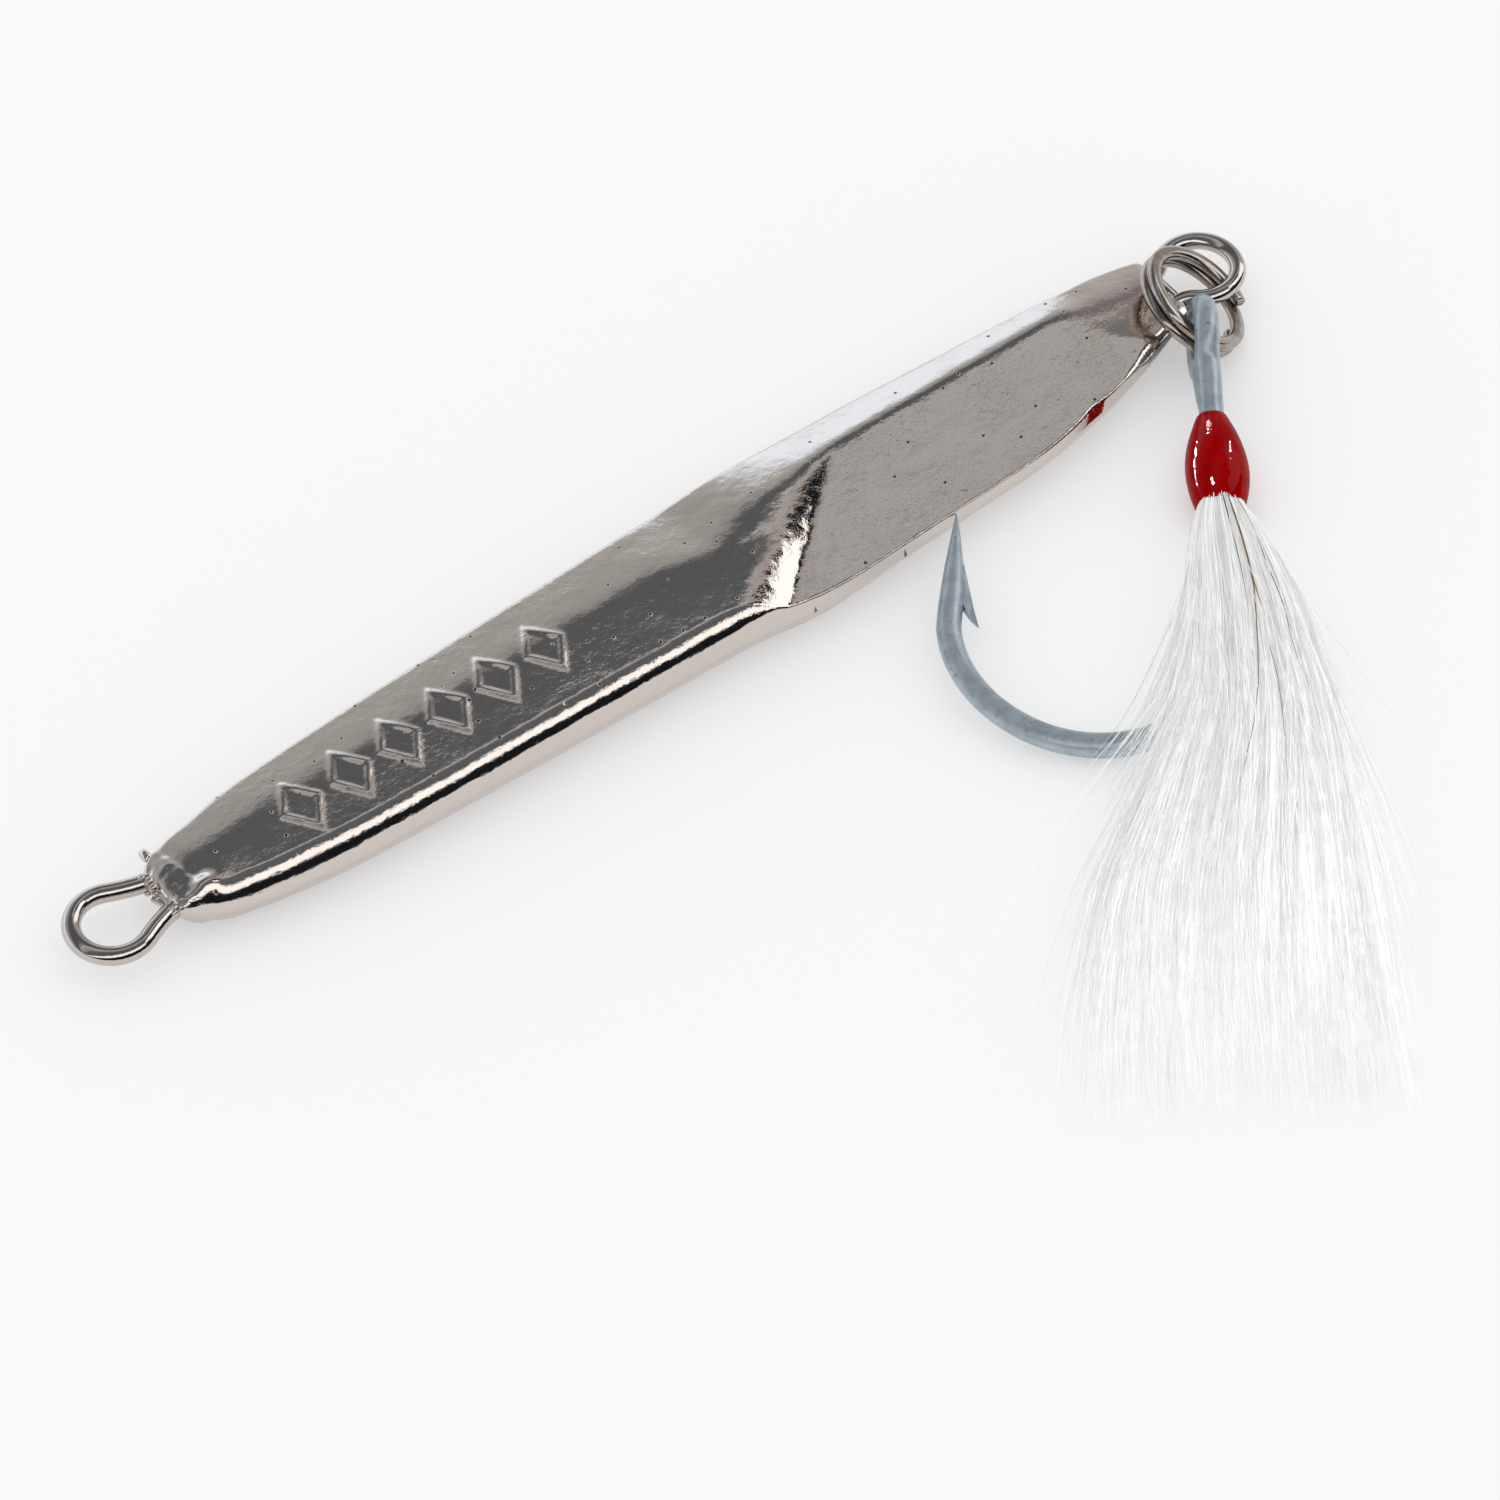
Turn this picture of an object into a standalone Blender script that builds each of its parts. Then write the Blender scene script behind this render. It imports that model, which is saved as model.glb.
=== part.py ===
"""Cast metal jig with a through-wire, a split ring and a bucktail-dressed single hook.

Frame: +X runs along the casting from the line-tie end (nose, "front") to the
hook end (tail, "rear"), +Z is up, "far" is +Y and "near" is -Y.  The origin is
on the flat land under the middle of the casting.  The jig lies on a table at
z = 0 with its hook swung out to -Y.
All dimensions are millimetres and are scaled to metres by MM.
"""

import math

import bmesh
import bpy
import numpy as np
from mathutils import Matrix, Vector

MM = 0.001

# ------------------------------------------------------------------- casting
# x, far outline y, near outline y, crest height above the parting plane
BODY_STATIONS = (
    (-46.3, 2.55, -2.6, 1.25),
    (-45.8, 2.95, -3.0, 1.50),
    (-44.5, 3.1, -3.5, 1.75),
    (-42.0, 3.6, -4.5, 2.05),
    (-38.0, 4.5, -5.4, 2.35),
    (-32.0, 5.0, -6.1, 2.55),
    (-22.0, 5.5, -6.5, 2.70),
    (-10.0, 5.9, -6.9, 2.85),
    (0.0, 6.2, -7.2, 2.90),
    (9.0, 6.5, -7.9, 2.80),
    (18.0, 6.4, -7.5, 2.75),
    (27.0, 5.9, -7.1, 2.65),
    (34.0, 5.5, -6.1, 2.55),
    (40.0, 5.0, -4.5, 2.25),
    (44.0, 4.6, -3.0, 1.85),
    (46.2, 4.15, -2.3, 1.60),
    (46.9, 3.75, -1.95, 1.30),
)
FAR, NEAR, CREST = 1, 2, 3  # columns of BODY_STATIONS
NOSE_X = BODY_STATIONS[0][0]
TAIL_X = BODY_STATIONS[-1][0]
FULL_CREST = max(row[CREST] for row in BODY_STATIONS)

PARTING_Z = 2.6            # height of the mould parting plane and of the wire
NOSE_FADE = 4.0            # length over which the faces blend in at the nose
TAIL_FADE = 3.0            # and out at the tail

# Ridge
CREST_Y_FRONT = -0.2       # ridge position on the front half
CREST_Y_REAR = 2.2         # ridge position on the rear half
CREST_SHIFT_X = -2.0       # where the ridge starts to move across
CREST_SHIFT_LENGTH = 22.0
CREST_CENTRING_X = 36.0    # beyond this |x| the ridge returns to the middle
CREST_CENTRING_LENGTH = 10.0
RIDGE_HALF_WIDTH = 0.05

# Edge heights above the parting plane
NEAR_WALL_FRONT = 1.95     # near edge, front of the diagonal step
NEAR_WALL_REAR = 1.05      # near edge, rear of the diagonal step
FAR_WALL = 0.55
MIN_HEIGHT = 0.35
LIFT_X, LIFT_LENGTH = 39.0, 5.0   # |x| where the edges start to thicken, and the run
FAR_LIFT, NEAR_LIFT, MIN_LIFT = 0.75, 0.55, 0.80
SHOULDER_INSET = 0.30      # draft of the side walls
SHOULDER_FULL_CREST = 2.0  # crest height from which the whole inset applies
REAR_SHOULDER_INSET = 0.45  # extra inset of the near shoulder behind the step

# Diagonal step between the front and rear faces
STEP_START_X, STEP_START_Y = -2.5, -7.0
STEP_SKEW = 1.12           # how far the step moves in x per unit of y
STEP_WIDTH = 6.2           # run of the step
STEP_CREST_DROP = 0.30     # how far the ridge drops across the step

# Thumb scoop at the tail
SCOOP_X, SCOOP_Y = 37.4, 1.4              # a point on its slanted starting line
SCOOP_ALONG, SCOOP_ACROSS = 0.79, 0.61    # direction in which it deepens
SCOOP_SLOPE = 0.17
SCOOP_END_X, SCOOP_END_FADE = 47.1, 3.0
SCOOP_NEAR_Y, SCOOP_NEAR_FADE = -3.4, 1.6

# -------------------------------------------------------------- through-wire
WIRE_RADIUS = 0.60
CHANNEL_RADIUS = 0.88      # clearance channel through the casting
CHANNEL_OVERRUN = 0.6      # how far the channel runs past each wire end
EYE_RADIUS = 2.88          # centreline radius of both eyes
FRONT_EYE = (-50.1, 0.0)   # x, y of the eye centres
REAR_EYE = (49.6, 0.9)
WIRE_ARC_STEP = 14         # nominal degrees between points round an eye
CHANNEL_ARC_STEP = 30

# x, y of the straight parts of the wire
FRONT_SHORT_LEG = ((-31.0, -1.0), (-38.0, -1.15), (-43.0, -1.25))
LONG_LEG = (
    (-40.0, 1.2), (-30.0, 1.0), (-10.0, 0.6), (10.0, 0.6), (28.0, 1.6), (38.0, 2.2), (43.0, 2.35),
)
REAR_SHORT_LEG = ((40.0, -0.5), (33.0, -0.4))

# ---------------------------------------------------------------- split ring
RING_WIRE_RADIUS = 0.40
RING_RADIUS = 3.91
RING_PITCH = 0.84
RING_TURNS = 1.93
RING_START = -34.0         # degrees round from the level axis of the ring
RING_STEPS_PER_TURN = 34
RING_CENTRE = (46.75, -1.96, 3.52)
RING_NORMAL = (0.499, -0.265, 0.735)

# ---------------------------------------------------------------------- hook
# The hook and its dressing share local axes: +X along the shank from the eye
# centre, -Y towards the point, +Z up.
HOOK_WIRE_RADIUS = 0.925
HOOK_EYE_RADIUS = 2.45
HOOK_EYE_CENTRE = (44.90, -5.26, 3.42)
HOOK_HEADING = -124.6      # degrees, direction of the shank in plan
HOOK_DROOP = 4.5           # degrees, shank falls to the table
HOOK_ROLL = -3.5           # degrees, point side lifted
HOOK_EYE_GAP = 42.0        # half angle of the eye's opening
HOOK_EYE_STEPS = 18
HOOK_LEG_Z = 0.98          # height of the wire above and below the axis at the eye's neck
SHANK_START, SHANK_END = 6.8, 26.1
BEND_RADIUS = 10.3
BEND_STEPS = 18
BEND_DEPTH = 0.97          # depth of the bend as a share of a half circle
BEND_BULGE = 0.035         # extra depth at the back of the bend
HOOK_POINT = (15.9, -19.15)
SPEAR_STEPS = 9
SPEAR_BOW = 0.25           # outward bow between bend and point
SPEAR_TAPER_START = 0.25   # share of the spear left at full thickness
POINT_SCALE = 0.10         # thickness left at the point, as a share of the wire

# x, y, half thickness of the barb's outline
BARB_OUTLINE = ((18.3, -19.65, 0.33), (23.4, -19.6, 0.33), (25.8, -18.25, 0.165), (24.2, -18.3, 0.33))

# ------------------------------------------------------------------ dressing
# distance from the eye centre, outer radius
HEAD_PROFILE = (
    (6.9, 1.30), (7.8, 1.55), (8.8, 1.85), (10.0, 2.14), (11.4, 2.32),
    (12.6, 2.32), (13.8, 2.18), (15.1, 1.98),
)
HEAD_OUTER_X = (6.9, 7.4, 8.0, 8.8, 9.8, 10.8, 11.8, 12.8, 13.8, 14.6, 15.1)
HEAD_INNER_X = (15.1, 14.2, 13.2, 11.8, 10.4, 9.0, 8.1, 6.9)
HEAD_WALL = 0.36
DRESSING_BORE = 1.06       # least radius inside the head and inside the thread
THREAD_START, THREAD_END = 8.8, 13.7
THREAD_TURNS = 14
THREAD_DEPTH = 0.50        # thread crowns below the head's outer surface
THREAD_GROOVE = 0.06

# distance along the shank, offset towards the bend side (-Y), height,
# half width, half thickness
CLUMPS = {
    # rises out of the head on top of the shank, passes over the bend
    "bucktail_upper": (
        (14.3, 0.0, 1.33, 0.70, 0.20), (15.5, 0.0, 1.34, 0.75, 0.20),
        (17.0, 0.0, 1.75, 1.5, 0.40), (20.2, 0.1, 2.1, 2.4, 0.62),
        (26.2, 0.3, 2.35, 3.4, 0.80), (32.2, 0.7, 2.45, 4.2, 0.85),
        (38.2, 1.3, 2.55, 4.9, 0.85), (45.2, 2.0, 2.80, 5.4, 0.85),
        (53.2, 2.6, 3.10, 5.6, 0.75), (60.2, 2.9, 3.35, 5.0, 0.55),
        (65.7, 3.0, 3.55, 3.6, 0.30),
    ),
    # starts under the shank, swept to the side away from the bend
    "bucktail_lower": (
        (14.3, -0.1, -1.28, 0.60, 0.17), (15.7, -0.1, -1.30, 0.62, 0.17),
        (17.6, -0.8, -1.42, 1.1, 0.24), (21.2, -1.8, -1.1, 1.3, 0.30),
        (27.2, -3.6, -0.55, 1.5, 0.42), (35.2, -4.6, 0.25, 2.2, 0.50),
        (44.2, -3.0, 0.95, 3.2, 0.50), (53.2, -1.4, 1.60, 4.0, 0.45),
        (61.2, -0.2, 2.15, 3.6, 0.30),
    ),
    # beside the shank on the bend side, lifting over the bend
    "bucktail_left": (
        (14.3, 1.32, 0.0, 0.20, 0.50), (15.5, 1.34, 0.0, 0.20, 0.52),
        (17.0, 2.05, 0.35, 0.60, 0.80), (20.2, 2.9, 0.75, 0.95, 0.72),
        (26.2, 4.4, 1.35, 1.25, 0.62), (31.2, 5.9, 1.9, 1.35, 0.55),
        (37.2, 8.0, 2.35, 1.6, 0.60), (45.2, 9.9, 2.45, 2.1, 0.60),
        (53.2, 11.0, 2.75, 2.3, 0.50), (60.2, 11.2, 3.1, 1.9, 0.35),
        (64.2, 11.0, 3.4, 1.3, 0.22),
    ),
    # beside the shank on the open side
    "bucktail_right": (
        (14.3, -1.32, 0.0, 0.20, 0.50), (15.5, -1.34, 0.0, 0.20, 0.52),
        (17.0, -2.0, 0.2, 0.62, 0.85), (20.2, -2.8, 0.35, 1.0, 0.72),
        (26.2, -4.3, 1.10, 1.2, 0.60), (33.2, -5.6, 1.75, 1.5, 0.60),
        (41.2, -6.4, 2.25, 2.0, 0.62), (49.2, -6.2, 2.65, 2.3, 0.60),
        (57.2, -5.6, 3.05, 2.2, 0.45), (64.2, -5.0, 3.45, 1.5, 0.25),
    ),
}

# ----------------------------------------------------------------- materials
MATERIALS = {
    "bright_nickel": dict(colour=(0.72, 0.69, 0.66), roughness=0.10, metallic=1.0),
    "plated_wire": dict(colour=(0.70, 0.67, 0.64), roughness=0.12, metallic=1.0),
    "stainless_ring": dict(colour=(0.42, 0.39, 0.37), roughness=0.22, metallic=1.0),
    "grey_hook_finish": dict(colour=(0.36, 0.42, 0.47), roughness=0.42, metallic=0.75),
    "red_lacquer": dict(colour=(0.50, 0.005, 0.01), roughness=0.06, metallic=0.0),
    "red_thread": dict(colour=(0.42, 0.01, 0.02), roughness=0.55, metallic=0.0),
    "white_bucktail": dict(colour=(0.88, 0.88, 0.87), roughness=0.60, metallic=0.0),
}


def make_material(name, colour, roughness, metallic):
    material = bpy.data.materials.new(name)
    material.use_nodes = True
    inputs = material.node_tree.nodes["Principled BSDF"].inputs
    inputs["Base Color"].default_value = (*colour, 1.0)
    inputs["Roughness"].default_value = roughness
    inputs["Metallic"].default_value = metallic
    return material


# ------------------------------------------------------------- curve helpers
def clamp(value):
    return min(max(value, 0.0), 1.0)


def smooth(value):
    value = clamp(value)
    return value * value * (3.0 - 2.0 * value)


def bezier(start, start_handle, end_handle, end, count):
    """count points of a cubic curve, without its last point."""
    points = []
    for i in range(count):
        t = i / count
        u = 1.0 - t
        points.append(
            start * u**3
            + start_handle * 3 * u * u * t
            + end_handle * 3 * u * t * t
            + end * t**3
        )
    return points


# ------------------------------------------------------------ object helpers
def link_mesh(name, bm):
    mesh = bpy.data.meshes.new(name)
    bm.to_mesh(mesh)
    bm.free()
    obj = bpy.data.objects.new(name, mesh)
    bpy.context.scene.collection.objects.link(obj)
    return obj


def make_piece(name, bm, material, sharp_angle):
    """A smooth-shaded piece whose edges above sharp_angle degrees stay sharp."""
    obj = link_mesh(name, bm)
    obj.data.materials.append(material)
    obj.data.shade_smooth()
    obj.data.set_sharp_from_angle(angle=math.radians(sharp_angle))
    return obj


def make_tool(name, bm):
    """A hidden helper solid for a boolean."""
    tool = link_mesh(name, bm)
    tool.hide_render = True
    tool.display_type = "WIRE"
    tool.hide_set(True)
    return tool


def add_boolean(obj, name, operation, tool):
    modifier = obj.modifiers.new(name, "BOOLEAN")
    modifier.operation = operation
    modifier.solver = "EXACT"
    modifier.object = tool


def make_pivot(name, point):
    pivot = bpy.data.objects.new(name, None)
    pivot.location = Vector(point) * MM
    bpy.context.scene.collection.objects.link(pivot)
    return pivot


def attach(child, parent, matrix_world):
    """Parents a piece whose mesh is in its own axes, placing it at matrix_world."""
    child.parent = parent
    child.matrix_parent_inverse = Matrix.Identity(4)
    child.matrix_basis = parent.matrix_basis.inverted() @ matrix_world


# -------------------------------------------------------------- mesh helpers
def bridge(bm, rings, closed=False):
    """Joins successive rings with quads, then caps the ends or closes the loop."""
    pairs = list(zip(rings, rings[1:]))
    if closed:
        pairs.append((rings[-1], rings[0]))
    for ring, following in pairs:
        count = len(ring)
        for i in range(count):
            j = (i + 1) % count
            bm.faces.new((ring[i], ring[j], following[j], following[i]))
    if not closed:
        bm.faces.new(list(reversed(rings[0])))
        bm.faces.new(rings[-1])
    bmesh.ops.recalc_face_normals(bm, faces=bm.faces)


def swept(path, radii, sides, flatness=None):
    """A tube along a path, one radius per point.

    flatness, one factor per point, keeps the section upright and scales its height.
    """
    bm = bmesh.new()
    up = Vector((0, 0, 1))
    rings = []
    normal = None
    for i, point in enumerate(path):
        before = path[max(i - 1, 0)]
        after = path[min(i + 1, len(path) - 1)]
        tangent = (after - before).normalized()
        if flatness is not None:
            side = tangent.cross(up).normalized()
            normal = side.cross(tangent).normalized()
        elif normal is None:
            normal = tangent.orthogonal().normalized()
        else:
            # carry the previous normal forward so that the tube doesn't twist
            normal = (normal - tangent * normal.dot(tangent)).normalized()
        binormal = tangent.cross(normal).normalized()
        radius = radii[i]
        squash = flatness[i] if flatness is not None else 1.0
        ring = []
        for s in range(sides):
            angle = 2.0 * math.pi * s / sides
            offset = normal * (math.cos(angle) * radius * squash) + binormal * (
                math.sin(angle) * radius
            )
            ring.append(bm.verts.new((point + offset) * MM))
        rings.append(ring)
    bridge(bm, rings)
    return bm


def round_wire(path, radius, sides):
    return swept(path, [radius] * len(path), sides)


def turned(profile, sides):
    """Revolves (distance, radius) pairs, a closed loop, about the local X axis."""
    bm = bmesh.new()
    rings = []
    for s in range(sides):
        angle = 2.0 * math.pi * s / sides
        rings.append(
            [
                bm.verts.new(Vector((x, r * math.cos(angle), r * math.sin(angle))) * MM)
                for x, r in profile
            ]
        )
    bridge(bm, rings, closed=True)
    return bm


# ------------------------------------------------------------- casting shape
def station_slope(k, column):
    """Slope at station k that never overshoots: harmonic mean of its neighbours'."""
    rows = BODY_STATIONS

    def span_slope(j):
        return (rows[j + 1][column] - rows[j][column]) / (rows[j + 1][0] - rows[j][0])

    if k == 0 or k == len(rows) - 1:
        return span_slope(min(k, len(rows) - 2))
    before, after = span_slope(k - 1), span_slope(k)
    if before * after <= 0.0:
        return 0.0
    return 2.0 * before * after / (before + after)


def station(x, column):
    """Cubic interpolation of one column of BODY_STATIONS."""
    rows = BODY_STATIONS
    if x <= NOSE_X:
        return rows[0][column]
    if x >= TAIL_X:
        return rows[-1][column]
    i = 0
    while rows[i + 1][0] < x:
        i += 1
    span = rows[i + 1][0] - rows[i][0]
    t = (x - rows[i][0]) / span
    return (
        (2 * t**3 - 3 * t**2 + 1) * rows[i][column]
        + (t**3 - 2 * t**2 + t) * station_slope(i, column) * span
        + (-2 * t**3 + 3 * t**2) * rows[i + 1][column]
        + (t**3 - t**2) * station_slope(i + 1, column) * span
    )


def crest_y(x):
    """The ridge moves from the middle of the front half to the far side of the rear half."""
    shift = smooth((x - CREST_SHIFT_X) / CREST_SHIFT_LENGTH)
    y = CREST_Y_FRONT + (CREST_Y_REAR - CREST_Y_FRONT) * shift
    centring = smooth((abs(x) - CREST_CENTRING_X) / CREST_CENTRING_LENGTH)
    middle = 0.5 * (station(x, FAR) + station(x, NEAR))
    return y + (middle - y) * centring


def end_fade(x):
    """1 along the body, falling to 0 at the rounded nose and tail."""
    return smooth((x - NOSE_X) / NOSE_FADE) * smooth((TAIL_X - x) / TAIL_FADE)


def step_weight(x, y):
    """0 on the front face, 1 on the rear face; the step runs diagonally across."""
    start = STEP_START_X + (y - STEP_START_Y) * STEP_SKEW
    t = clamp((x - start) / STEP_WIDTH)
    return 0.75 * t + 0.25 * smooth(t)


def scoop_depth(x, y):
    """Depth of the thumb scoop, which deepens beyond a slanted line near the tail."""
    distance = (x - SCOOP_X) * SCOOP_ALONG + (y - SCOOP_Y) * SCOOP_ACROSS
    if distance <= 0.0 or y <= SCOOP_NEAR_Y:
        return 0.0
    tail_fade = smooth((SCOOP_END_X - x) / SCOOP_END_FADE)
    near_fade = smooth((y - SCOOP_NEAR_Y) / SCOOP_NEAR_FADE)
    return SCOOP_SLOPE * distance * tail_fade * near_fade


def top_height(x, y):
    """Height of the upper surface above the parting plane."""
    far, near, crest = (station(x, column) for column in (FAR, NEAR, CREST))
    ridge = crest_y(x)
    fade = end_fade(x)
    wall_share = crest / FULL_CREST
    # the edges thicken round the wire legs
    lift = smooth((abs(x) - LIFT_X) / LIFT_LENGTH)
    if y >= ridge:
        wall = FAR_WALL * wall_share + FAR_LIFT * lift
        t = clamp((y - ridge) / max(far - ridge, 0.01))
        height = crest + (wall - crest) * (0.72 * t + 0.28 * t * t)
        height -= STEP_CREST_DROP * step_weight(x, ridge) * (1.0 - t) * fade
    else:
        front_wall = NEAR_WALL_FRONT * wall_share
        rear_wall = NEAR_WALL_REAR * wall_share + NEAR_LIFT * lift
        t = clamp((ridge - y) / max(ridge - near, 0.01))
        front = crest + (front_wall - crest) * (0.45 * t + 0.55 * t * t)
        rear = crest - STEP_CREST_DROP * fade + (rear_wall - crest) * t
        height = front + (rear - front) * step_weight(x, y)
    return max(height - scoop_depth(x, y), MIN_HEIGHT + MIN_LIFT * lift)


def body_x_positions():
    """Sections close together at both ends and across the diagonal step."""
    return (
        [-46.3, -46.1, -45.8, -45.2, -44.5, -43.5, -42.0, -40.0]
        + [-37.0 + 3.0 * i for i in range(11)]
        + [-3.5 + 1.25 * i for i in range(16)]
        + [18.0 + 2.4 * i for i in range(8)]
        + [37.6, 38.8, 40.0, 41.4, 42.8, 44.0, 45.2, 45.9, 46.4, 46.75, 46.9]
    )


def body_section(x):
    """One closed section: top from the far edge to the near edge, then the underside back.

    The underside is the upper surface turned half round about the long axis,
    as a two-sided mould makes it.
    """
    far, near = station(x, FAR), station(x, NEAR)
    ridge = crest_y(x)
    inset = SHOULDER_INSET * clamp(station(x, CREST) / SHOULDER_FULL_CREST)
    far_shoulder = far - inset
    near_shoulder = near + inset + REAR_SHOULDER_INSET * step_weight(x, near) * end_fade(x)
    ys = [far_shoulder]
    ys += [ridge + t * (far_shoulder - ridge) for t in (0.66, 0.30)]
    ys.append(ridge + RIDGE_HALF_WIDTH)
    ys += [
        ridge - RIDGE_HALF_WIDTH + t * (near_shoulder - ridge)
        for t in (0.14, 0.32, 0.5, 0.68, 0.85)
    ]
    ys.append(near_shoulder)
    upper = [(y, top_height(x, y)) for y in ys]
    lower = [(far + near - y, -height) for y, height in upper]
    return [(far, 0.0)] + upper + [(near, 0.0)] + lower


def make_body(material):
    bm = bmesh.new()
    rings = [
        [bm.verts.new(Vector((x, y, PARTING_Z + height)) * MM) for y, height in body_section(x)]
        for x in body_x_positions()
    ]
    bridge(bm, rings)
    # the flat land it rests on
    bmesh.ops.bisect_plane(
        bm,
        geom=bm.verts[:] + bm.edges[:] + bm.faces[:],
        plane_co=(0, 0, 0),
        plane_no=(0, 0, 1),
        dist=1e-7,
        clear_inner=True,
    )
    rim = [edge for edge in bm.edges if edge.is_boundary]
    bmesh.ops.holes_fill(bm, edges=rim, sides=0)
    bmesh.ops.recalc_face_normals(bm, faces=bm.faces)
    return make_piece("jig_body", bm, material, sharp_angle=14.0)


# -------------------------------------------------------------- through-wire
def wire_eye(centre, facing, half_gap, neck, neck_handle, eye_handle, neck_steps, arc_step):
    """An eye and the two curved necks that lead into and out of it.

    facing is the sign of x in which the eye opens and half_gap half its opening
    in degrees; neck and neck_handle are (x, offset from the eye's middle).
    """
    centre_x, centre_y = centre

    def on_eye(degrees):
        angle = math.radians(degrees)
        return Vector((
            centre_x + facing * EYE_RADIUS * math.cos(angle),
            centre_y - facing * EYE_RADIUS * math.sin(angle),
            PARTING_Z,
        ))

    def neck_points(side):
        return [
            Vector((x, centre_y + side * facing * offset, PARTING_Z))
            for x, offset in (neck, neck_handle)
        ]

    gap = math.radians(half_gap)
    handle_x = facing * eye_handle * math.sin(gap)
    handle_y = facing * eye_handle * math.cos(gap)
    start, finish = on_eye(half_gap), on_eye(360.0 - half_gap)
    neck_in, neck_in_handle = neck_points(-1)
    neck_out, neck_out_handle = neck_points(1)

    arc = 360.0 - 2 * half_gap
    arc_steps = round(arc / arc_step)
    start_handle = start + Vector((handle_x, handle_y, 0.0))
    finish_handle = finish + Vector((handle_x, -handle_y, 0.0))
    return (
        bezier(neck_in, neck_in_handle, start_handle, start, neck_steps)
        + [on_eye(half_gap + arc * i / arc_steps) for i in range(arc_steps)]
        + bezier(finish, finish_handle, neck_out_handle, neck_out, neck_steps)
        + [neck_out]
    )


def wire_path(arc_step, overrun=0.0):
    """The single wire: short leg, front eye, long leg through the casting, rear eye, short leg."""

    def leg(points):
        return [Vector((x, y, PARTING_Z)) for x, y in points]

    front_eye = wire_eye(
        FRONT_EYE, facing=1, half_gap=64.0, neck=(-44.4, 1.3), neck_handle=(-45.8, 1.35),
        eye_handle=1.2, neck_steps=5, arc_step=arc_step,
    )
    rear_eye = wire_eye(
        REAR_EYE, facing=-1, half_gap=46.0, neck=(44.6, 1.5), neck_handle=(45.6, 1.55),
        eye_handle=1.0, neck_steps=4, arc_step=arc_step,
    )
    path = leg(FRONT_SHORT_LEG) + front_eye + leg(LONG_LEG) + rear_eye + leg(REAR_SHORT_LEG)
    path[0].x += overrun
    path[-1].x -= overrun
    return path


def make_wire(material):
    bm = round_wire(wire_path(WIRE_ARC_STEP), WIRE_RADIUS, sides=10)
    return make_piece("through_wire", bm, material, sharp_angle=50.0)


def cut_channel(body):
    """The channel the wire lies in, open at the nose and at the tail."""
    path = wire_path(CHANNEL_ARC_STEP, CHANNEL_OVERRUN)
    cutter = make_tool("channel_cutter", round_wire(path, CHANNEL_RADIUS, sides=8))
    add_boolean(body, "wire_channel", "DIFFERENCE", cutter)


# ---------------------------------------------------------------- split ring
def ring_path():
    """A flat helix round the ring's tilted normal."""
    normal = Vector(RING_NORMAL).normalized()
    level = Vector((0, 0, 1)).cross(normal).normalized()   # lies flat, across the slope
    slope = normal.cross(level).normalized()               # climbs the slope
    centre = Vector(RING_CENTRE)
    count = int(RING_STEPS_PER_TURN * RING_TURNS)
    points = []
    for i in range(count + 1):
        turn = RING_TURNS * i / count
        angle = math.radians(RING_START) + 2.0 * math.pi * turn
        radial = level * math.cos(angle) + slope * math.sin(angle)
        lift = RING_PITCH * (0.5 * RING_TURNS - turn)
        points.append(centre + radial * RING_RADIUS + normal * lift)
    return points


def make_ring(material, pivot_point):
    """The ring, with its mesh placed relative to pivot_point."""
    path = [point - Vector(pivot_point) for point in ring_path()]
    bm = round_wire(path, RING_WIRE_RADIUS, sides=8)
    return make_piece("split_ring", bm, material, sharp_angle=50.0)


# ---------------------------------------------------------------------- hook
def hook_matrix():
    return (
        Matrix.Translation(Vector(HOOK_EYE_CENTRE) * MM)
        @ Matrix.Rotation(math.radians(HOOK_HEADING), 4, "Z")
        @ Matrix.Rotation(math.radians(HOOK_DROOP), 4, "Y")
        @ Matrix.Rotation(math.radians(HOOK_ROLL), 4, "X")
    )


def hook_eye_path():
    """From the free end of the wire, below the axis, round the eye to the shank."""

    def point(x, z):
        return Vector((x, 0.0, z))

    def on_eye(degrees):
        angle = math.radians(degrees)
        return point(HOOK_EYE_RADIUS * math.cos(angle), HOOK_EYE_RADIUS * math.sin(angle))

    gap = math.radians(HOOK_EYE_GAP)
    low, top = on_eye(-HOOK_EYE_GAP), on_eye(HOOK_EYE_GAP - 360.0)
    low_handle = low + point(math.sin(gap), math.cos(gap)) * 0.9
    top_handle = top + point(math.sin(gap), -math.cos(gap)) * 1.1
    arc = 360.0 - 2 * HOOK_EYE_GAP
    neck = point(4.8, HOOK_LEG_Z)
    return (
        bezier(point(4.6, -HOOK_LEG_Z), point(3.6, -1.05), low_handle, low, 4)
        + [on_eye(-HOOK_EYE_GAP - arc * i / HOOK_EYE_STEPS) for i in range(HOOK_EYE_STEPS)]
        + bezier(top, top_handle, point(3.3, HOOK_LEG_Z), neck, 5)
        + bezier(neck, point(5.5, HOOK_LEG_Z), point(5.6, 0.0), point(SHANK_START, 0.0), 4)
    )


def bend_path():
    points = []
    for i in range(1, BEND_STEPS + 1):
        angle = math.pi * i / BEND_STEPS
        bulge = 1.0 + BEND_BULGE * math.sin(angle) ** 2
        x = SHANK_END + BEND_RADIUS * math.sin(angle) * bulge * BEND_DEPTH
        points.append(Vector((x, -BEND_RADIUS + BEND_RADIUS * math.cos(angle), 0)))
    return points


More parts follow.
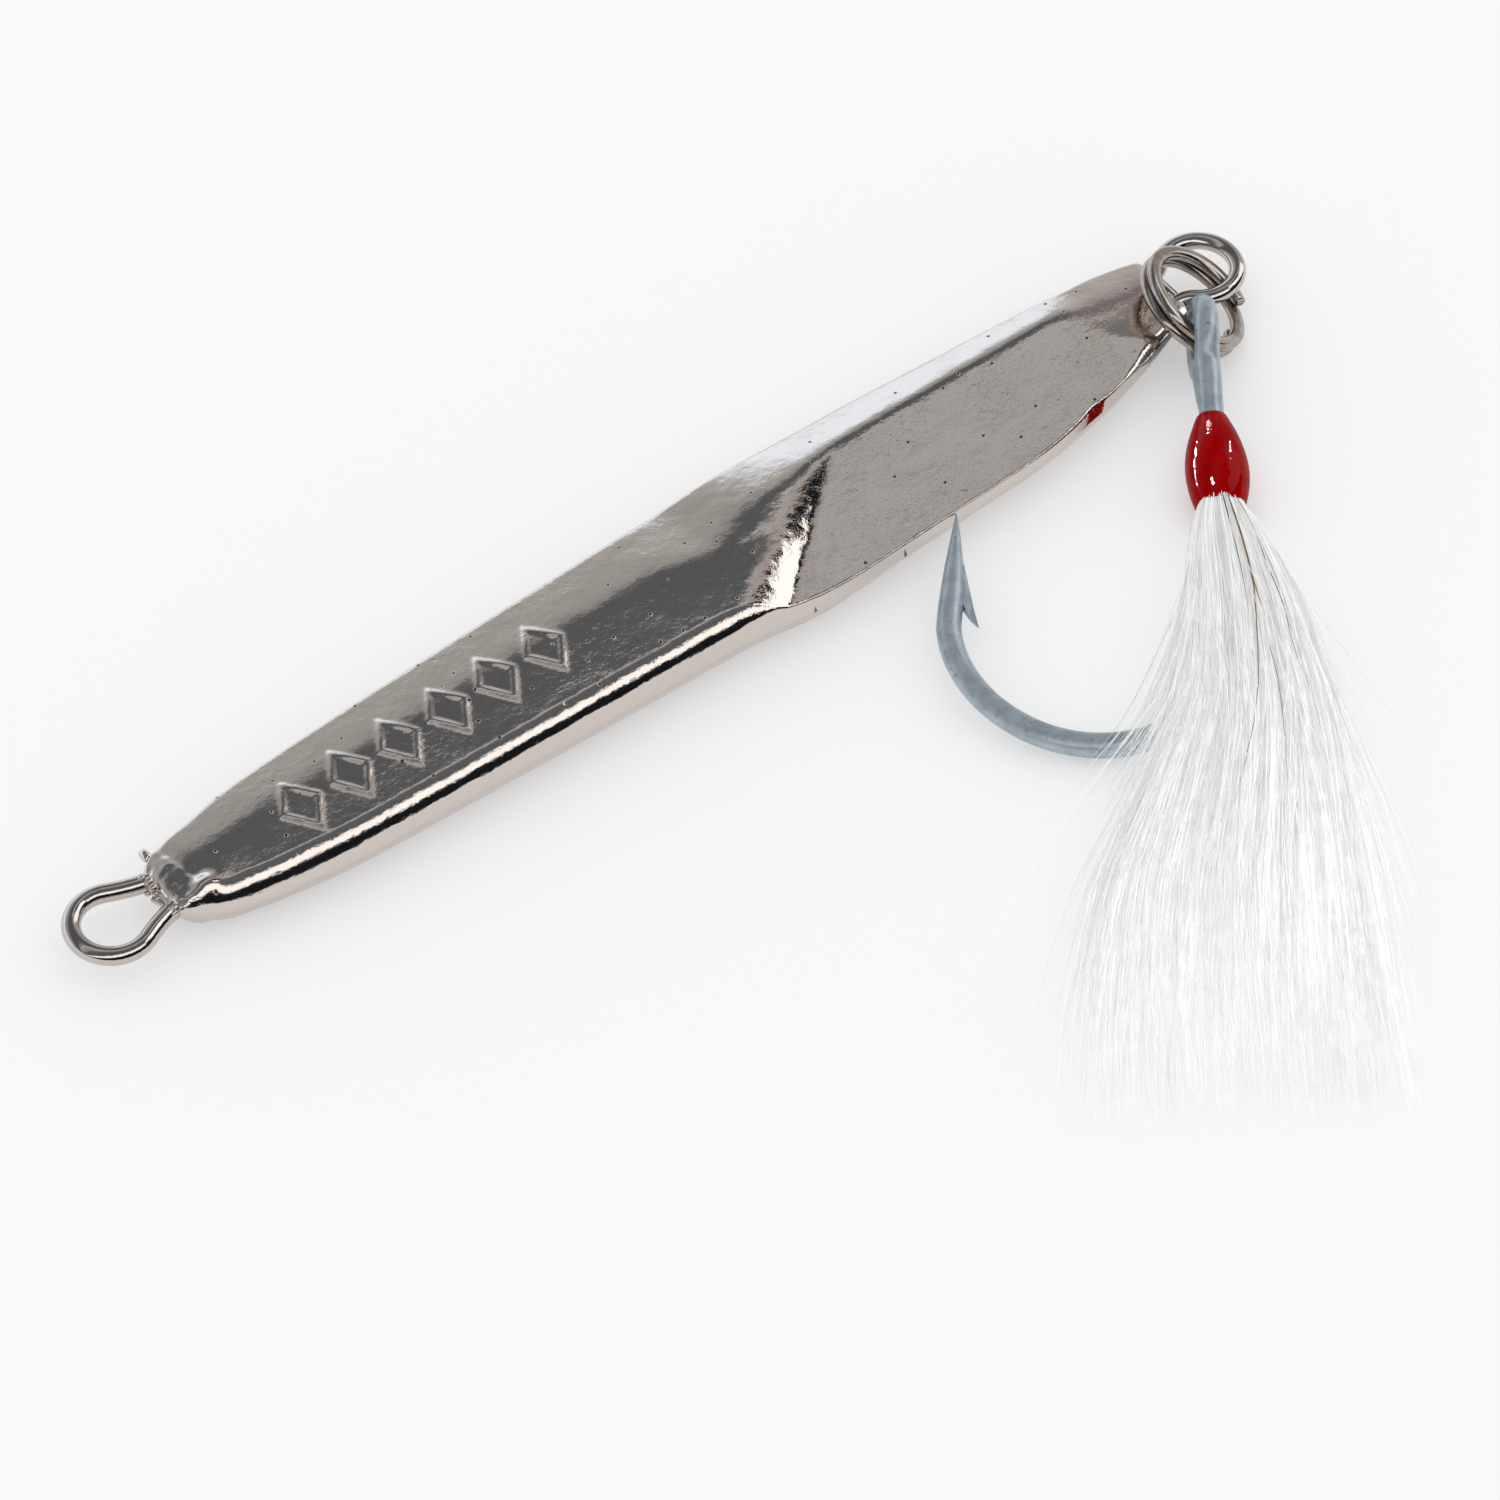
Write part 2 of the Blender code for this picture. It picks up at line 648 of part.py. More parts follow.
def hook_path():
    """Centreline points of the hook and the wire radius at each."""
    points = hook_eye_path()
    points += [Vector((x, 0, 0)) for x in (SHANK_START, 11.0, 16.0, 21.0, SHANK_END)]
    points += bend_path()
    radii = [HOOK_WIRE_RADIUS] * len(points)
    bend_end = points[-1]
    tip = Vector((*HOOK_POINT, 0.0))
    for i in range(1, SPEAR_STEPS + 1):
        t = i / SPEAR_STEPS
        point = bend_end.lerp(tip, t)
        point.y -= SPEAR_BOW * math.sin(math.pi * t)
        points.append(point)
        taper = 1.0 - (t - SPEAR_TAPER_START) / (1.0 - SPEAR_TAPER_START)
        radii.append(HOOK_WIRE_RADIUS * min(1.0, max(POINT_SCALE, taper)))
    return points, radii


def make_barb():
    """A sliver raised off the inner side of the point."""
    bm = bmesh.new()
    upper, lower = (
        [bm.verts.new(Vector((x, y, side * half)) * MM) for x, y, half in BARB_OUTLINE]
        for side in (1, -1)
    )
    bm.faces.new(upper)
    bm.faces.new(list(reversed(lower)))
    for i in range(4):
        j = (i + 1) % 4
        bm.faces.new((upper[i], lower[i], lower[j], upper[j]))
    bmesh.ops.recalc_face_normals(bm, faces=bm.faces)
    return make_tool("barb_tool", bm)


def make_hook(material):
    points, radii = hook_path()
    bm = swept(points, radii, sides=12)
    return make_piece("hook", bm, material, sharp_angle=40.0)


# ------------------------------------------------------------------ dressing
def head_radius(x):
    return float(np.interp(x, *zip(*HEAD_PROFILE)))


def make_head(material):
    outer = [(x, head_radius(x)) for x in HEAD_OUTER_X]
    inner = [(x, max(DRESSING_BORE, head_radius(x) - HEAD_WALL)) for x in HEAD_INNER_X]
    bm = turned(outer + inner, sides=28)
    return make_piece("lacquer_head", bm, material, sharp_angle=40.0)


def make_thread(material):
    """A close-wound binding: a sleeve whose outside carries the turns of the thread."""
    outer = []
    steps = 2 * THREAD_TURNS
    for i in range(steps + 1):
        x = THREAD_START + (THREAD_END - THREAD_START) * i / steps
        groove = THREAD_GROOVE if i % 2 else 0.0
        outer.append((x, head_radius(x) - THREAD_DEPTH - groove))
    inner = [(THREAD_END, DRESSING_BORE), (THREAD_START, DRESSING_BORE)]
    bm = turned(outer + inner, sides=20)
    return make_piece("thread_wrap", bm, material, sharp_angle=60.0)


def make_clump(name, rows, material):
    """A tapered bundle of hair from one table of CLUMPS."""
    path = [Vector((along, -across, height)) for along, across, height, _, _ in rows]
    widths = [row[3] for row in rows]
    flatness = [row[4] / row[3] for row in rows]
    bm = swept(path, widths, sides=10, flatness=flatness)
    return make_piece(name, bm, material, sharp_angle=60.0)


# ------------------------------------------------------------------ assembly
def main():
    for obj in list(bpy.data.objects):
        bpy.data.objects.remove(obj, do_unlink=True)

    materials = {name: make_material(name, **look) for name, look in MATERIALS.items()}

    body = make_body(materials["bright_nickel"])
    cut_channel(body)
    make_wire(materials["plated_wire"])

    # the ring slides round the rear eye, so it turns about the eye's centre
    rear_eye_centre = (*REAR_EYE, PARTING_Z)
    ring_pivot = make_pivot("ring_pivot", rear_eye_centre)
    ring = make_ring(materials["stainless_ring"], rear_eye_centre)
    ring.parent = ring_pivot

    # the hook turns on the ring wire, which runs through the hook eye
    hook_pivot = make_pivot("hook_pivot", HOOK_EYE_CENTRE)
    hook = make_hook(materials["grey_hook_finish"])
    barb = make_barb()
    add_boolean(hook, "barb", "UNION", barb)
    hook_parts = [
        hook,
        barb,
        make_thread(materials["red_thread"]),
        make_head(materials["red_lacquer"]),
    ]
    for name, rows in CLUMPS.items():
        hook_parts.append(make_clump(name, rows, materials["white_bucktail"]))
    for part in hook_parts:
        attach(part, hook_pivot, hook_matrix())


main()
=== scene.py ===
"""Looks for the cast jig: bright nickel casting on a wire, split ring and hair-dressed hook.

The casting lies along X on the floor (z = 0), its nose at -X and its tail at +X. The split ring
hangs in the wire eye at the tail, and the hook runs from it towards -X and -Y.
"Near" is the -Y side and "far" is the +Y side. Lengths are millimetres unless noted.
"""

import math
from functools import lru_cache

import bmesh
import bpy
import numpy as np
from mathutils import Matrix, Vector


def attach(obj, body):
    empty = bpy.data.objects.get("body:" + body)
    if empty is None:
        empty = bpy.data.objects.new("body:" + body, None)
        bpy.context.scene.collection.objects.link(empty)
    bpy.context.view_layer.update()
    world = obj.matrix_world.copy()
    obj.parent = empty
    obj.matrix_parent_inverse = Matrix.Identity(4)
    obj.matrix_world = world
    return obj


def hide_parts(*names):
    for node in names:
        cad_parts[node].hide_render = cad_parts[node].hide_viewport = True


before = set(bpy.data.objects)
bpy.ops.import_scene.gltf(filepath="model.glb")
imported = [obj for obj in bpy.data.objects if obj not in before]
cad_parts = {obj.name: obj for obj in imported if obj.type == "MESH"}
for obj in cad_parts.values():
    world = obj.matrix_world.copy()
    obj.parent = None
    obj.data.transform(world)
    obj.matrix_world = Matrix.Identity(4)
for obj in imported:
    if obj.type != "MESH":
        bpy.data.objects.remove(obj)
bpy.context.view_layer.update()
SCENE = bpy.context.scene
MM = 0.001


# ================================================================ number helpers
def ease(value):
    """Smooth step from 0 to 1."""
    value = np.clip(value, 0.0, 1.0)
    return value * value * (3.0 - 2.0 * value)


def lerp(start, end, share):
    return start + (end - start) * share


def unit(vector):
    vector = np.asarray(vector, float)
    return vector / np.maximum(np.linalg.norm(vector, axis=-1, keepdims=True), 1e-12)


def look_up(value, table):
    """Straight-line interpolation in a table of (position, result) rows."""
    return np.interp(value, *np.transpose(table))


def soft_min(first, second, blend):
    """Minimum with the corner rounded over about the blend distance."""
    least = np.minimum(first, second)
    return least - blend * np.log(np.exp(-(first - least) / blend)
                                  + np.exp(-(second - least) / blend))


@lru_cache(maxsize=None)
def noise_table(seed):
    return np.random.default_rng(seed).uniform(-1, 1, (256, 256))


def noise_2d(x, y, cell, seed):
    """Smooth two-dimensional noise in about -1..1."""
    table = noise_table(seed)
    u, v = x / cell + 400.0, y / cell + 400.0
    i, j = np.floor(u).astype(int), np.floor(v).astype(int)
    share_u, share_v = ease(u - i), ease(v - j)

    def row(column):
        return lerp(table[i % 256, column % 256], table[(i + 1) % 256, column % 256], share_u)

    return lerp(row(j), row(j + 1), share_v)


# ================================================================== mesh helpers
def add_object(name, mesh, material):
    obj = bpy.data.objects.new(name, mesh)
    SCENE.collection.objects.link(obj)
    mesh.materials.append(material)
    mesh.shade_smooth()
    return obj


def fix_normals(mesh):
    work = bmesh.new()
    work.from_mesh(mesh)
    bmesh.ops.recalc_face_normals(work, faces=work.faces)
    work.to_mesh(mesh)
    work.free()


def add_mesh(name, verts, faces, material, sharp_angle=None, recalculate=True):
    """Smooth-shaded object from millimetre vertices and a list of faces."""
    mesh = bpy.data.meshes.new(name)
    mesh.from_pydata((np.asarray(verts, float) * MM).tolist(), [], faces)
    mesh.validate(clean_customdata=False)
    mesh.update()
    obj = add_object(name, mesh, material)
    if sharp_angle is not None:
        mesh.set_sharp_from_angle(angle=math.radians(sharp_angle))
    if recalculate:
        fix_normals(mesh)
    return obj


def add_bmesh(name, work, material):
    mesh = bpy.data.meshes.new(name)
    work.to_mesh(mesh)
    work.free()
    return add_object(name, mesh, material)


def hand_over(obj, part, stands_for=()):
    if stands_for:
        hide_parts(*stands_for)
    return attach(obj, part)


def grid_faces(rows, cols):
    """Quads between rows of vertices, each row closed on itself."""
    i, j = np.meshgrid(np.arange(rows - 1), np.arange(cols), indexing="ij")
    k = (j + 1) % cols
    corners = [i * cols + j, i * cols + k, (i + 1) * cols + k, (i + 1) * cols + j]
    return np.stack(corners, -1).reshape(-1, 4)


def resample(path, spacing):
    """The same path with points evenly spaced along it."""
    steps = np.linalg.norm(np.diff(path, axis=0), axis=1)
    travelled = np.concatenate([[0], np.cumsum(steps)])
    count = max(2, int(round(travelled[-1] / spacing)))
    wanted = np.linspace(0, travelled[-1], count + 1)
    return np.stack([np.interp(wanted, travelled, path[:, k]) for k in range(3)], 1)


def cut_corners(path, times):
    """Chaikin smoothing that keeps both end points."""
    for _ in range(times):
        cut = np.empty((2 * (len(path) - 1), 3))
        cut[0::2] = 0.75 * path[:-1] + 0.25 * path[1:]
        cut[1::2] = 0.25 * path[:-1] + 0.75 * path[1:]
        path = np.concatenate([path[:1], cut, path[-1:]])
    return path


def bezier(start, start_handle, end_handle, end, count):
    """Points on a cubic Bezier curve, leaving out the end itself."""
    points = (np.asarray(v, float) for v in (start, start_handle, end_handle, end))
    start, start_handle, end_handle, end = points
    t = np.arange(count)[:, None] / count
    u = 1 - t
    return start * u**3 + start_handle * 3 * u * u * t + end_handle * 3 * u * t * t + end * t**3


def path_axes(path, up=None):
    """Two directions across the path: held to up if given, otherwise carried without twist."""
    tangent = unit(np.gradient(path, axis=0))
    if up is not None:
        side = unit(np.cross(tangent, up))
        return unit(np.cross(side, tangent)), side
    normal = np.zeros_like(path)
    guide = np.array([0.0, 0.0, 1.0] if abs(tangent[0][2]) < 0.8 else [1.0, 0.0, 0.0])
    normal[0] = unit(guide - tangent[0] * (guide @ tangent[0]))
    for i in range(1, len(path)):
        carried = normal[i - 1] - tangent[i] * (normal[i - 1] @ tangent[i])
        normal[i] = carried / max(np.linalg.norm(carried), 1e-9)
    return normal, np.cross(tangent, normal)


def round_section(angle):
    return np.cos(angle), np.sin(angle)


def tube(path, radius, sides, up=None, section=round_section):
    """Capped swept tube; section(angle) gives the shares along the two cross directions."""
    radius = np.broadcast_to(np.asarray(radius, float), (len(path),))[:, None, None]
    normal, side = path_axes(path, up)
    on_normal, on_side = section(np.linspace(0, 2 * math.pi, sides, endpoint=False))
    across = (on_normal[None, :, None] * normal[:, None]
              + on_side[None, :, None] * side[:, None])
    verts = (path[:, None] + radius * across).reshape(-1, 3)
    faces = grid_faces(len(path), sides).tolist()
    centre = len(verts)
    last = (len(path) - 1) * sides
    verts = np.concatenate([verts, path[:1], path[-1:]])
    faces += [[(j + 1) % sides, centre, j] for j in range(sides)]
    faces += [[last + j, last + (j + 1) % sides, centre + 1] for j in range(sides)]
    return verts, faces


# ===================================================================== materials
class Nodes:
    """A terse way to build the node tree of a material or a world."""

    def __init__(self, owner, output="ShaderNodeOutputMaterial"):
        owner.use_nodes = True
        self.owner, self.output, self.tree = owner, output, owner.node_tree
        self.tree.nodes.clear()

    def put(self, socket, value):
        """Links a socket, or sets a plain value; colours may leave out their alpha."""
        if hasattr(value, "links"):
            self.tree.links.new(value, socket)
        elif socket.type == "RGBA" and len(value) == 3:
            socket.default_value = (*value, 1.0)
        else:
            socket.default_value = value

    def fill(self, node, inputs):
        for key, value in inputs.items():
            self.put(node.inputs[key], value)

    def new(self, kind, inputs=None, **settings):
        node = self.tree.nodes.new(kind)
        for key, value in settings.items():
            setattr(node, key, value)
        self.fill(node, inputs or {})
        return node

    def finish(self, shader):
        self.new(self.output, {0: shader.outputs[0]})
        return self.owner

    def math(self, operation, first, second, clamp=False):
        inputs = {0: first, 1: second}
        node = self.new("ShaderNodeMath", inputs, operation=operation, use_clamp=clamp)
        return node.outputs[0]

    def add(self, first, second, clamp=False):
        return self.math("ADD", first, second, clamp)

    def times(self, first, second):
        return self.math("MULTIPLY", first, second)

    def vary(self, base, value, amount):
        """base + value * amount"""
        return self.add(base, self.times(value, amount))

    def angle_ramp(self, half_turns, stops):
        """Colour by angle from (degrees, colour) stops; the input is 0..1 for 0..180 degrees."""
        node = self.new("ShaderNodeValToRGB", {0: half_turns})
        elements = node.color_ramp.elements
        while len(elements) > 1:
            elements.remove(elements[-1])
        for k, (degrees, colour) in enumerate(stops):
            position = degrees / 180.0
            element = elements.new(position) if k else elements[0]
            element.position = position
            element.color = (*colour, 1.0)
        return node.outputs[0]

    def mix(self, share, first, second):
        inputs = {0: share, 6: first, 7: second}
        return self.new("ShaderNodeMix", inputs, data_type="RGBA").outputs[2]

    def mix_shader(self, share, first, second):
        inputs = {0: share, 1: first.outputs[0], 2: second.outputs[0]}
        return self.new("ShaderNodeMixShader", inputs)

    def step(self, value, low, high):
        inputs = {0: value, 1: low, 2: high}
        node = self.new("ShaderNodeMapRange", inputs, interpolation_type="SMOOTHSTEP")
        return node.outputs[0]

    def noise(self, place, scale, detail=2.0, roughness=0.5, distortion=0.0):
        return self.new("ShaderNodeTexNoise", {
            "Vector": place, "Scale": scale, "Detail": detail,
            "Roughness": roughness, "Distortion": distortion}).outputs[0]

    def bump(self, height, distance, normal=None):
        """Bump of the given depth in metres."""
        node = self.new("ShaderNodeBump", {
            "Distance": distance, "Strength": 1.0, "Height": height})
        if normal is not None:
            self.put(node.inputs["Normal"], normal)
        return node.outputs[0]


def material(name):
    """Node builder, principled shader and texture place in object millimetres."""
    nodes = Nodes(bpy.data.materials.new(name))
    surface = nodes.new("ShaderNodeBsdfPrincipled")
    metres = nodes.new("ShaderNodeTexCoord").outputs["Object"]
    place = nodes.new("ShaderNodeVectorMath", {0: metres, 3: 1000.0}, operation="SCALE")
    return nodes, surface, place.outputs[0]


def nickel_casting():
    nodes, surface, place = material("nickel_casting")
    # soft pebbling left by the mould, stronger in patches
    patch = nodes.step(nodes.noise(place, scale=0.22), low=0.35, high=0.65)
    pebble = nodes.noise(place, scale=1.7, detail=3.0, roughness=0.55)
    fine = nodes.noise(place, scale=5.5, roughness=0.6)
    waves = nodes.noise(place, scale=0.45, detail=1.0, roughness=0.4)
    pebbling = nodes.times(pebble, nodes.add(nodes.times(patch, 0.7), 0.5))
    skin = nodes.vary(nodes.vary(pebbling, fine, amount=0.24), waves, amount=1.5)
    normal = nodes.bump(skin, distance=0.000031)
    # scattered dark casting pits in some of the cells
    cells = nodes.new("ShaderNodeTexVoronoi", {
        "Vector": place, "Scale": 0.42, "Randomness": 1.0}, feature="F1", voronoi_dimensions="2D")
    chosen = nodes.step(cells.outputs["Color"], low=0.60, high=0.64)
    outside = nodes.step(cells.outputs["Distance"], low=0.028, high=0.070)
    pit = nodes.times(nodes.math("SUBTRACT", 1.0, outside), chosen)
    normal = nodes.bump(nodes.times(pit, -1.0), distance=0.00012, normal=normal)
    tint = nodes.mix(nodes.noise(place, scale=0.12), (0.665, 0.600, 0.552), (0.640, 0.585, 0.545))
    polish = nodes.noise(place, scale=2.2, detail=3.0)
    nodes.fill(surface, {
        "Normal": normal, "Metallic": 1.0,
        "Base Color": nodes.mix(nodes.times(pit, 0.9), tint, (0.03, 0.028, 0.03)),
        "Roughness": nodes.vary(0.055, polish, amount=0.07)})
    return nodes.finish(surface)


def bright_wire():
    nodes, surface, place = material("bright_wire")
    even = nodes.new("ShaderNodeVectorMath", {0: place, 1: (1.0, 1.0, 1.0)}, operation="MULTIPLY")
    coarse = nodes.noise(even.outputs[0], scale=2.6, detail=3.0, roughness=0.55)
    grain = nodes.vary(coarse, nodes.noise(place, scale=9.0), amount=0.25)
    cloud = nodes.noise(place, scale=0.8)
    nodes.fill(surface, {
        "Normal": nodes.bump(grain, distance=0.000010), "Metallic": 1.0,
        "Base Color": nodes.mix(cloud, (0.63, 0.575, 0.535), (0.50, 0.46, 0.44)),
        "Roughness": nodes.vary(0.045, nodes.noise(place, scale=3.0), amount=0.07)})
    return nodes.finish(surface)


def ring_steel():
    nodes, surface, place = material("ring_stainless")
    coarse = nodes.noise(place, scale=3.0, detail=3.0, roughness=0.6)
    grain = nodes.vary(coarse, nodes.noise(place, scale=12.0), amount=0.3)
    warm = nodes.step(nodes.noise(place, scale=0.9), low=0.42, high=0.62)
    nodes.fill(surface, {
        "Normal": nodes.bump(grain, distance=0.000005), "Metallic": 1.0,
        "Base Color": nodes.mix(warm, (0.40, 0.37, 0.345), (0.34, 0.27, 0.22)),
        "Roughness": nodes.vary(0.10, nodes.noise(place, scale=4.0), amount=0.10)})
    return nodes.finish(surface)


def hook_metal():
    nodes, surface, place = material("grey_plated_hook")
    cloud = nodes.noise(place, scale=0.9, detail=4.0, roughness=0.6)
    speck = nodes.noise(place, scale=14.0, roughness=0.7)
    wear = nodes.noise(place, scale=2.1, detail=3.0, roughness=0.65, distortion=0.6)
    scuff = nodes.step(wear, low=0.60, high=0.68)
    base = nodes.mix(nodes.step(cloud, low=0.3, high=0.7),
                     (0.320, 0.380, 0.420), (0.440, 0.505, 0.550))
    speckled = nodes.times(nodes.step(speck, low=0.55, high=0.75), 0.5)
    base = nodes.mix(speckled, base, (0.42, 0.47, 0.50))
    base = nodes.mix(nodes.times(scuff, 0.45), base, (0.09, 0.11, 0.13))
    coarse = nodes.noise(place, scale=9.0, detail=3.0, roughness=0.6)
    grain = nodes.vary(coarse, speck, amount=0.8)
    nodes.fill(surface, {
        "Base Color": base, "Metallic": 0.62,
        "Roughness": nodes.vary(0.33, cloud, amount=0.12),
        "Normal": nodes.bump(grain, distance=0.0000014)})
    return nodes.finish(surface)


def lacquer():
    nodes, surface, place = material("red_lacquer_coat")
    cloud = nodes.noise(place, scale=0.9, detail=3.0)
    under = nodes.noise(place, scale=3.5, detail=3.0)
    nodes.fill(surface, {
        "Base Color": nodes.mix(cloud, (0.200, 0.000, 0.000), (0.340, 0.000, 0.001)),
        "Roughness": 0.35, "Specular IOR Level": 0.0,
        "Coat Weight": 0.35, "Coat Roughness": 0.03, "Coat IOR": 1.30,
        "Coat Normal": nodes.bump(nodes.noise(place, scale=1.1), distance=0.00005),
        "Normal": nodes.bump(under, distance=0.00003)})
    return nodes.finish(surface)


def thread():
    nodes, surface, place = material("red_winding_thread")
    cloud = nodes.noise(place, scale=6.0, detail=3.0)
    fibre = nodes.noise(place, scale=20.0, detail=3.0)
    nodes.fill(surface, {
        "Base Color": nodes.mix(cloud, (0.30, 0.004, 0.010), (0.50, 0.012, 0.020)),
        "Roughness": 0.6, "Sheen Weight": 0.2,
        "Normal": nodes.bump(fibre, distance=0.00004)})
    return nodes.finish(surface)


def hair(name, light, dark, through=0.35, glow=0.0):
    """Hair between two tones; through is the translucent share, glow the strength of a faint painted
    glow (emission) that brightens the hair.
    """
    nodes, surface, place = material(name)
    tone = nodes.new("ShaderNodeAttribute", attribute_name="tone").outputs["Fac"]
    along = nodes.noise(place, scale=0.8)
    lightness = nodes.add(nodes.times(tone, 0.75), nodes.times(along, 0.25), clamp=True)
    base = nodes.mix(lightness, dark, light)
    # painted glow: the emission strength rises from the butts to the thin ends towards -Y, so the
    # tips read brighter
    y = nodes.new("ShaderNodeSeparateXYZ", {0: place}).outputs[1]
    towards_tip = nodes.step(nodes.times(y, -1.0), low=26.0, high=56.0)
    ends = nodes.add(0.92, nodes.times(towards_tip, 0.44))
    # painted glow: emission in the hair's own colour, strongest on the lightest hairs
    painted_glow = nodes.times(nodes.add(nodes.times(lightness, lightness), 0.25), glow)
    nodes.fill(surface, {
        "Base Color": base, "Roughness": 0.5, "Specular IOR Level": 0.3,
        "Emission Color": base, "Emission Strength": nodes.times(painted_glow, ends),
        "Normal": nodes.bump(nodes.noise(place, scale=16.0), distance=0.000004)})
    translucent = nodes.new("ShaderNodeBsdfTranslucent", {"Color": base})
    made = nodes.finish(nodes.mix_shader(through, surface, translucent))
    made.cycles.emission_sampling = "NONE"
    return made


NICKEL = nickel_casting()
WIRE = bright_wire()
RING = ring_steel()
HOOK = hook_metal()
LACQUER = lacquer()
THREAD = thread()
# the white hair carries a faint painted glow (emission strength 0.30)
HAIR = hair("white_bucktail", light=(0.995, 0.992, 0.99), dark=(0.85, 0.85, 0.857), glow=0.30)
HAIR_DARK = hair("dark_guard_hair", light=(0.05, 0.045, 0.04), dark=(0.015, 0.013, 0.012),
                 through=0.05)
HAIR_BROWN = hair("golden_guard_hair", light=(0.36, 0.22, 0.08), dark=(0.20, 0.11, 0.035),
                  through=0.15)


# =================================================================== the casting
PARTING = 2.6                       # height of the parting plane

# x, far edge y, near edge y, crest height above the parting plane
STATIONS = np.array([
    (-46.3, 2.55, -2.6, 1.25), (-45.8, 2.95, -3.0, 1.50), (-44.5, 3.1, -3.5, 1.75),
    (-42.0, 3.6, -4.5, 2.05), (-38.0, 4.5, -5.4, 2.35), (-32.0, 5.0, -6.1, 2.55),
    (-22.0, 5.5, -6.5, 2.70), (-10.0, 5.9, -6.9, 2.85), (0.0, 6.2, -7.2, 2.90),
    (9.0, 6.5, -7.9, 2.80), (18.0, 6.4, -7.5, 2.75), (27.0, 5.9, -7.1, 2.65),
    (34.0, 5.5, -6.1, 2.55), (40.0, 5.0, -4.5, 2.25), (44.0, 4.6, -3.0, 1.85),
    (46.2, 4.15, -2.3, 1.60), (46.9, 3.75, -1.95, 1.30),
])
NOSE_X, TAIL_X = STATIONS[0, 0], STATIONS[-1, 0]
NOSE_ROUND, TAIL_ROUND = 2.5, 0.9   # length of the rounding at each end
NOSE_INSET = 1.75                   # how far the outline draws in at the nose
# start x and section spacing of each stretch between the rounded ends
STRETCHES = (
    (NOSE_X + NOSE_ROUND, 0.30), (-37.5, 0.155), (-9.0, 0.30),
    (-4.0, 0.17), (15.5, 0.34), (36.0, 0.20), (TAIL_X - TAIL_ROUND, None),
)
TOP_POINTS, LOWER_POINTS = 118, 44
ACROSS = 0.5 - 0.5 * np.cos(np.linspace(0, math.pi, 700))

# a row of raised lozenge outlines on the nose half
LOZENGE_CENTRES = [(-34.3 + 4.45 * i, -1.10 + 0.17 * i) for i in range(6)]
LOZENGE_HALF_X, LOZENGE_HALF_Y = 1.55, 2.30
LOZENGE_LINE = 0.25                 # width measure of the raised line


def station_curve(column):
    """Cubic through one column of the stations that never overshoots them."""
    xs, ys = STATIONS[:, 0], STATIONS[:, column]
    span = np.diff(xs)
    rise = np.diff(ys) / span
    slope = np.zeros(len(xs))
    slope[0], slope[-1] = rise[0], rise[-1]
    for k in range(1, len(xs) - 1):
        before, after = rise[k - 1], rise[k]
        slope[k] = 0.0 if before * after <= 0 else 2 * before * after / (before + after)

    def curve(x):
        x = np.clip(np.asarray(x, float), xs[0], xs[-1])
        i = np.clip(np.searchsorted(xs, x, side="right") - 1, 0, len(xs) - 2)
        t = (x - xs[i]) / span[i]
        return ((2 * t**3 - 3 * t**2 + 1) * ys[i]
                + (t**3 - 2 * t**2 + t) * slope[i] * span[i]
                + (-2 * t**3 + 3 * t**2) * ys[i + 1]
                + (t**3 - t**2) * slope[i + 1] * span[i])
    return curve


FAR, NEAR, CREST = station_curve(1), station_curve(2), station_curve(3)


def ridge_y(x):
    """Course of the long ridge, drawn to the middle of the outline at both ends."""
    y = -0.2 + 2.4 * ease((x + 2.0) / 20.0) - 1.4 * np.exp(-((x - 3.2) / 3.0) ** 2)
    return y + (0.5 * (FAR(x) + NEAR(x)) - y) * ease((np.abs(x) - 36.0) / 10.0)


def step_share(x, y):
    """0 on the nose-side face, 1 on the tail-side face, across the slanting step."""
    high = ease((y + 3.8) / 2.4)
    lead = 2.8 * high
    t = (x - (-0.4 + (y + 7.0) * 1.25) + lead) / (5.2 + lead)
    t = t + 0.014 * noise_2d(x, y, cell=0.55, seed=31) + 0.024 * noise_2d(x, y, cell=1.7, seed=32)
    t = np.minimum(np.maximum(t, 0.0), 4.0)
    return soft_min(t ** lerp(1.7, 2.4, high), 1.0, blend=0.075)


def crown_height(x, y):
    """Upper surface above the parting plane, before the edges are rounded."""
    crest = CREST(x)
    past = y - ridge_y(x)           # distance to the far side of the ridge
    short = -past
    end_lift = ease((np.abs(x) - 39.0) / 5.0)
    nose_face = (crest - 0.03
                 - (0.010 * short + 0.0030 * np.maximum(short, 0) ** 2) * (1 + 1.6 * end_lift))
    tail_face = crest - 0.34 - 0.142 * short
    near = lerp(nose_face, tail_face, step_share(x, y))
    tailward = ease((x - 5.0) / 13.0)
    bow = past * np.abs(past)
    far_nose = crest + 0.12 - 0.215 * past - 0.005 * bow
    far_tail = crest - 0.18 - lerp(0.42, 0.12, ease((x - 35.0) / 7.0)) * past - 0.012 * bow
    far = lerp(far_nose, far_tail, tailward)
    z = soft_min(near, far, lerp(0.10, 0.15, tailward))

    # curved facet falling away towards the tail
    low, high = np.maximum(0.8 - y, 0.0), np.maximum(y - 0.8, 0.0)
    run = 0.79 * (x - 38.7 - 0.30 * low**1.8 + 0.30 * high)
    run = np.maximum(0.5 * (run + np.sqrt(run * run + 0.12)) - 0.06, 0.0)
    z = z - 0.18 * 3.5 * (1.0 - np.exp(-run / 3.5)) * ease((y + 3.8) / 2.2)

    # groove across the nose, a knob at its near end and a rough tip
    groove = np.exp(-((x + 43.7 + 0.10 * (y - 1.0)) / 0.55) ** 2) * ease((y + 2.2) / 1.2)
    knob = np.exp(-(((x + 43.6) / 1.0) ** 2 + ((y + 2.35) / 0.8) ** 2))
    z = z - 0.24 * groove + 0.46 * knob
    z = z + 0.06 * noise_2d(x, y, cell=0.5, seed=41) * ease((-43.6 - x) / 1.0)
    return np.maximum(z, 0.30)


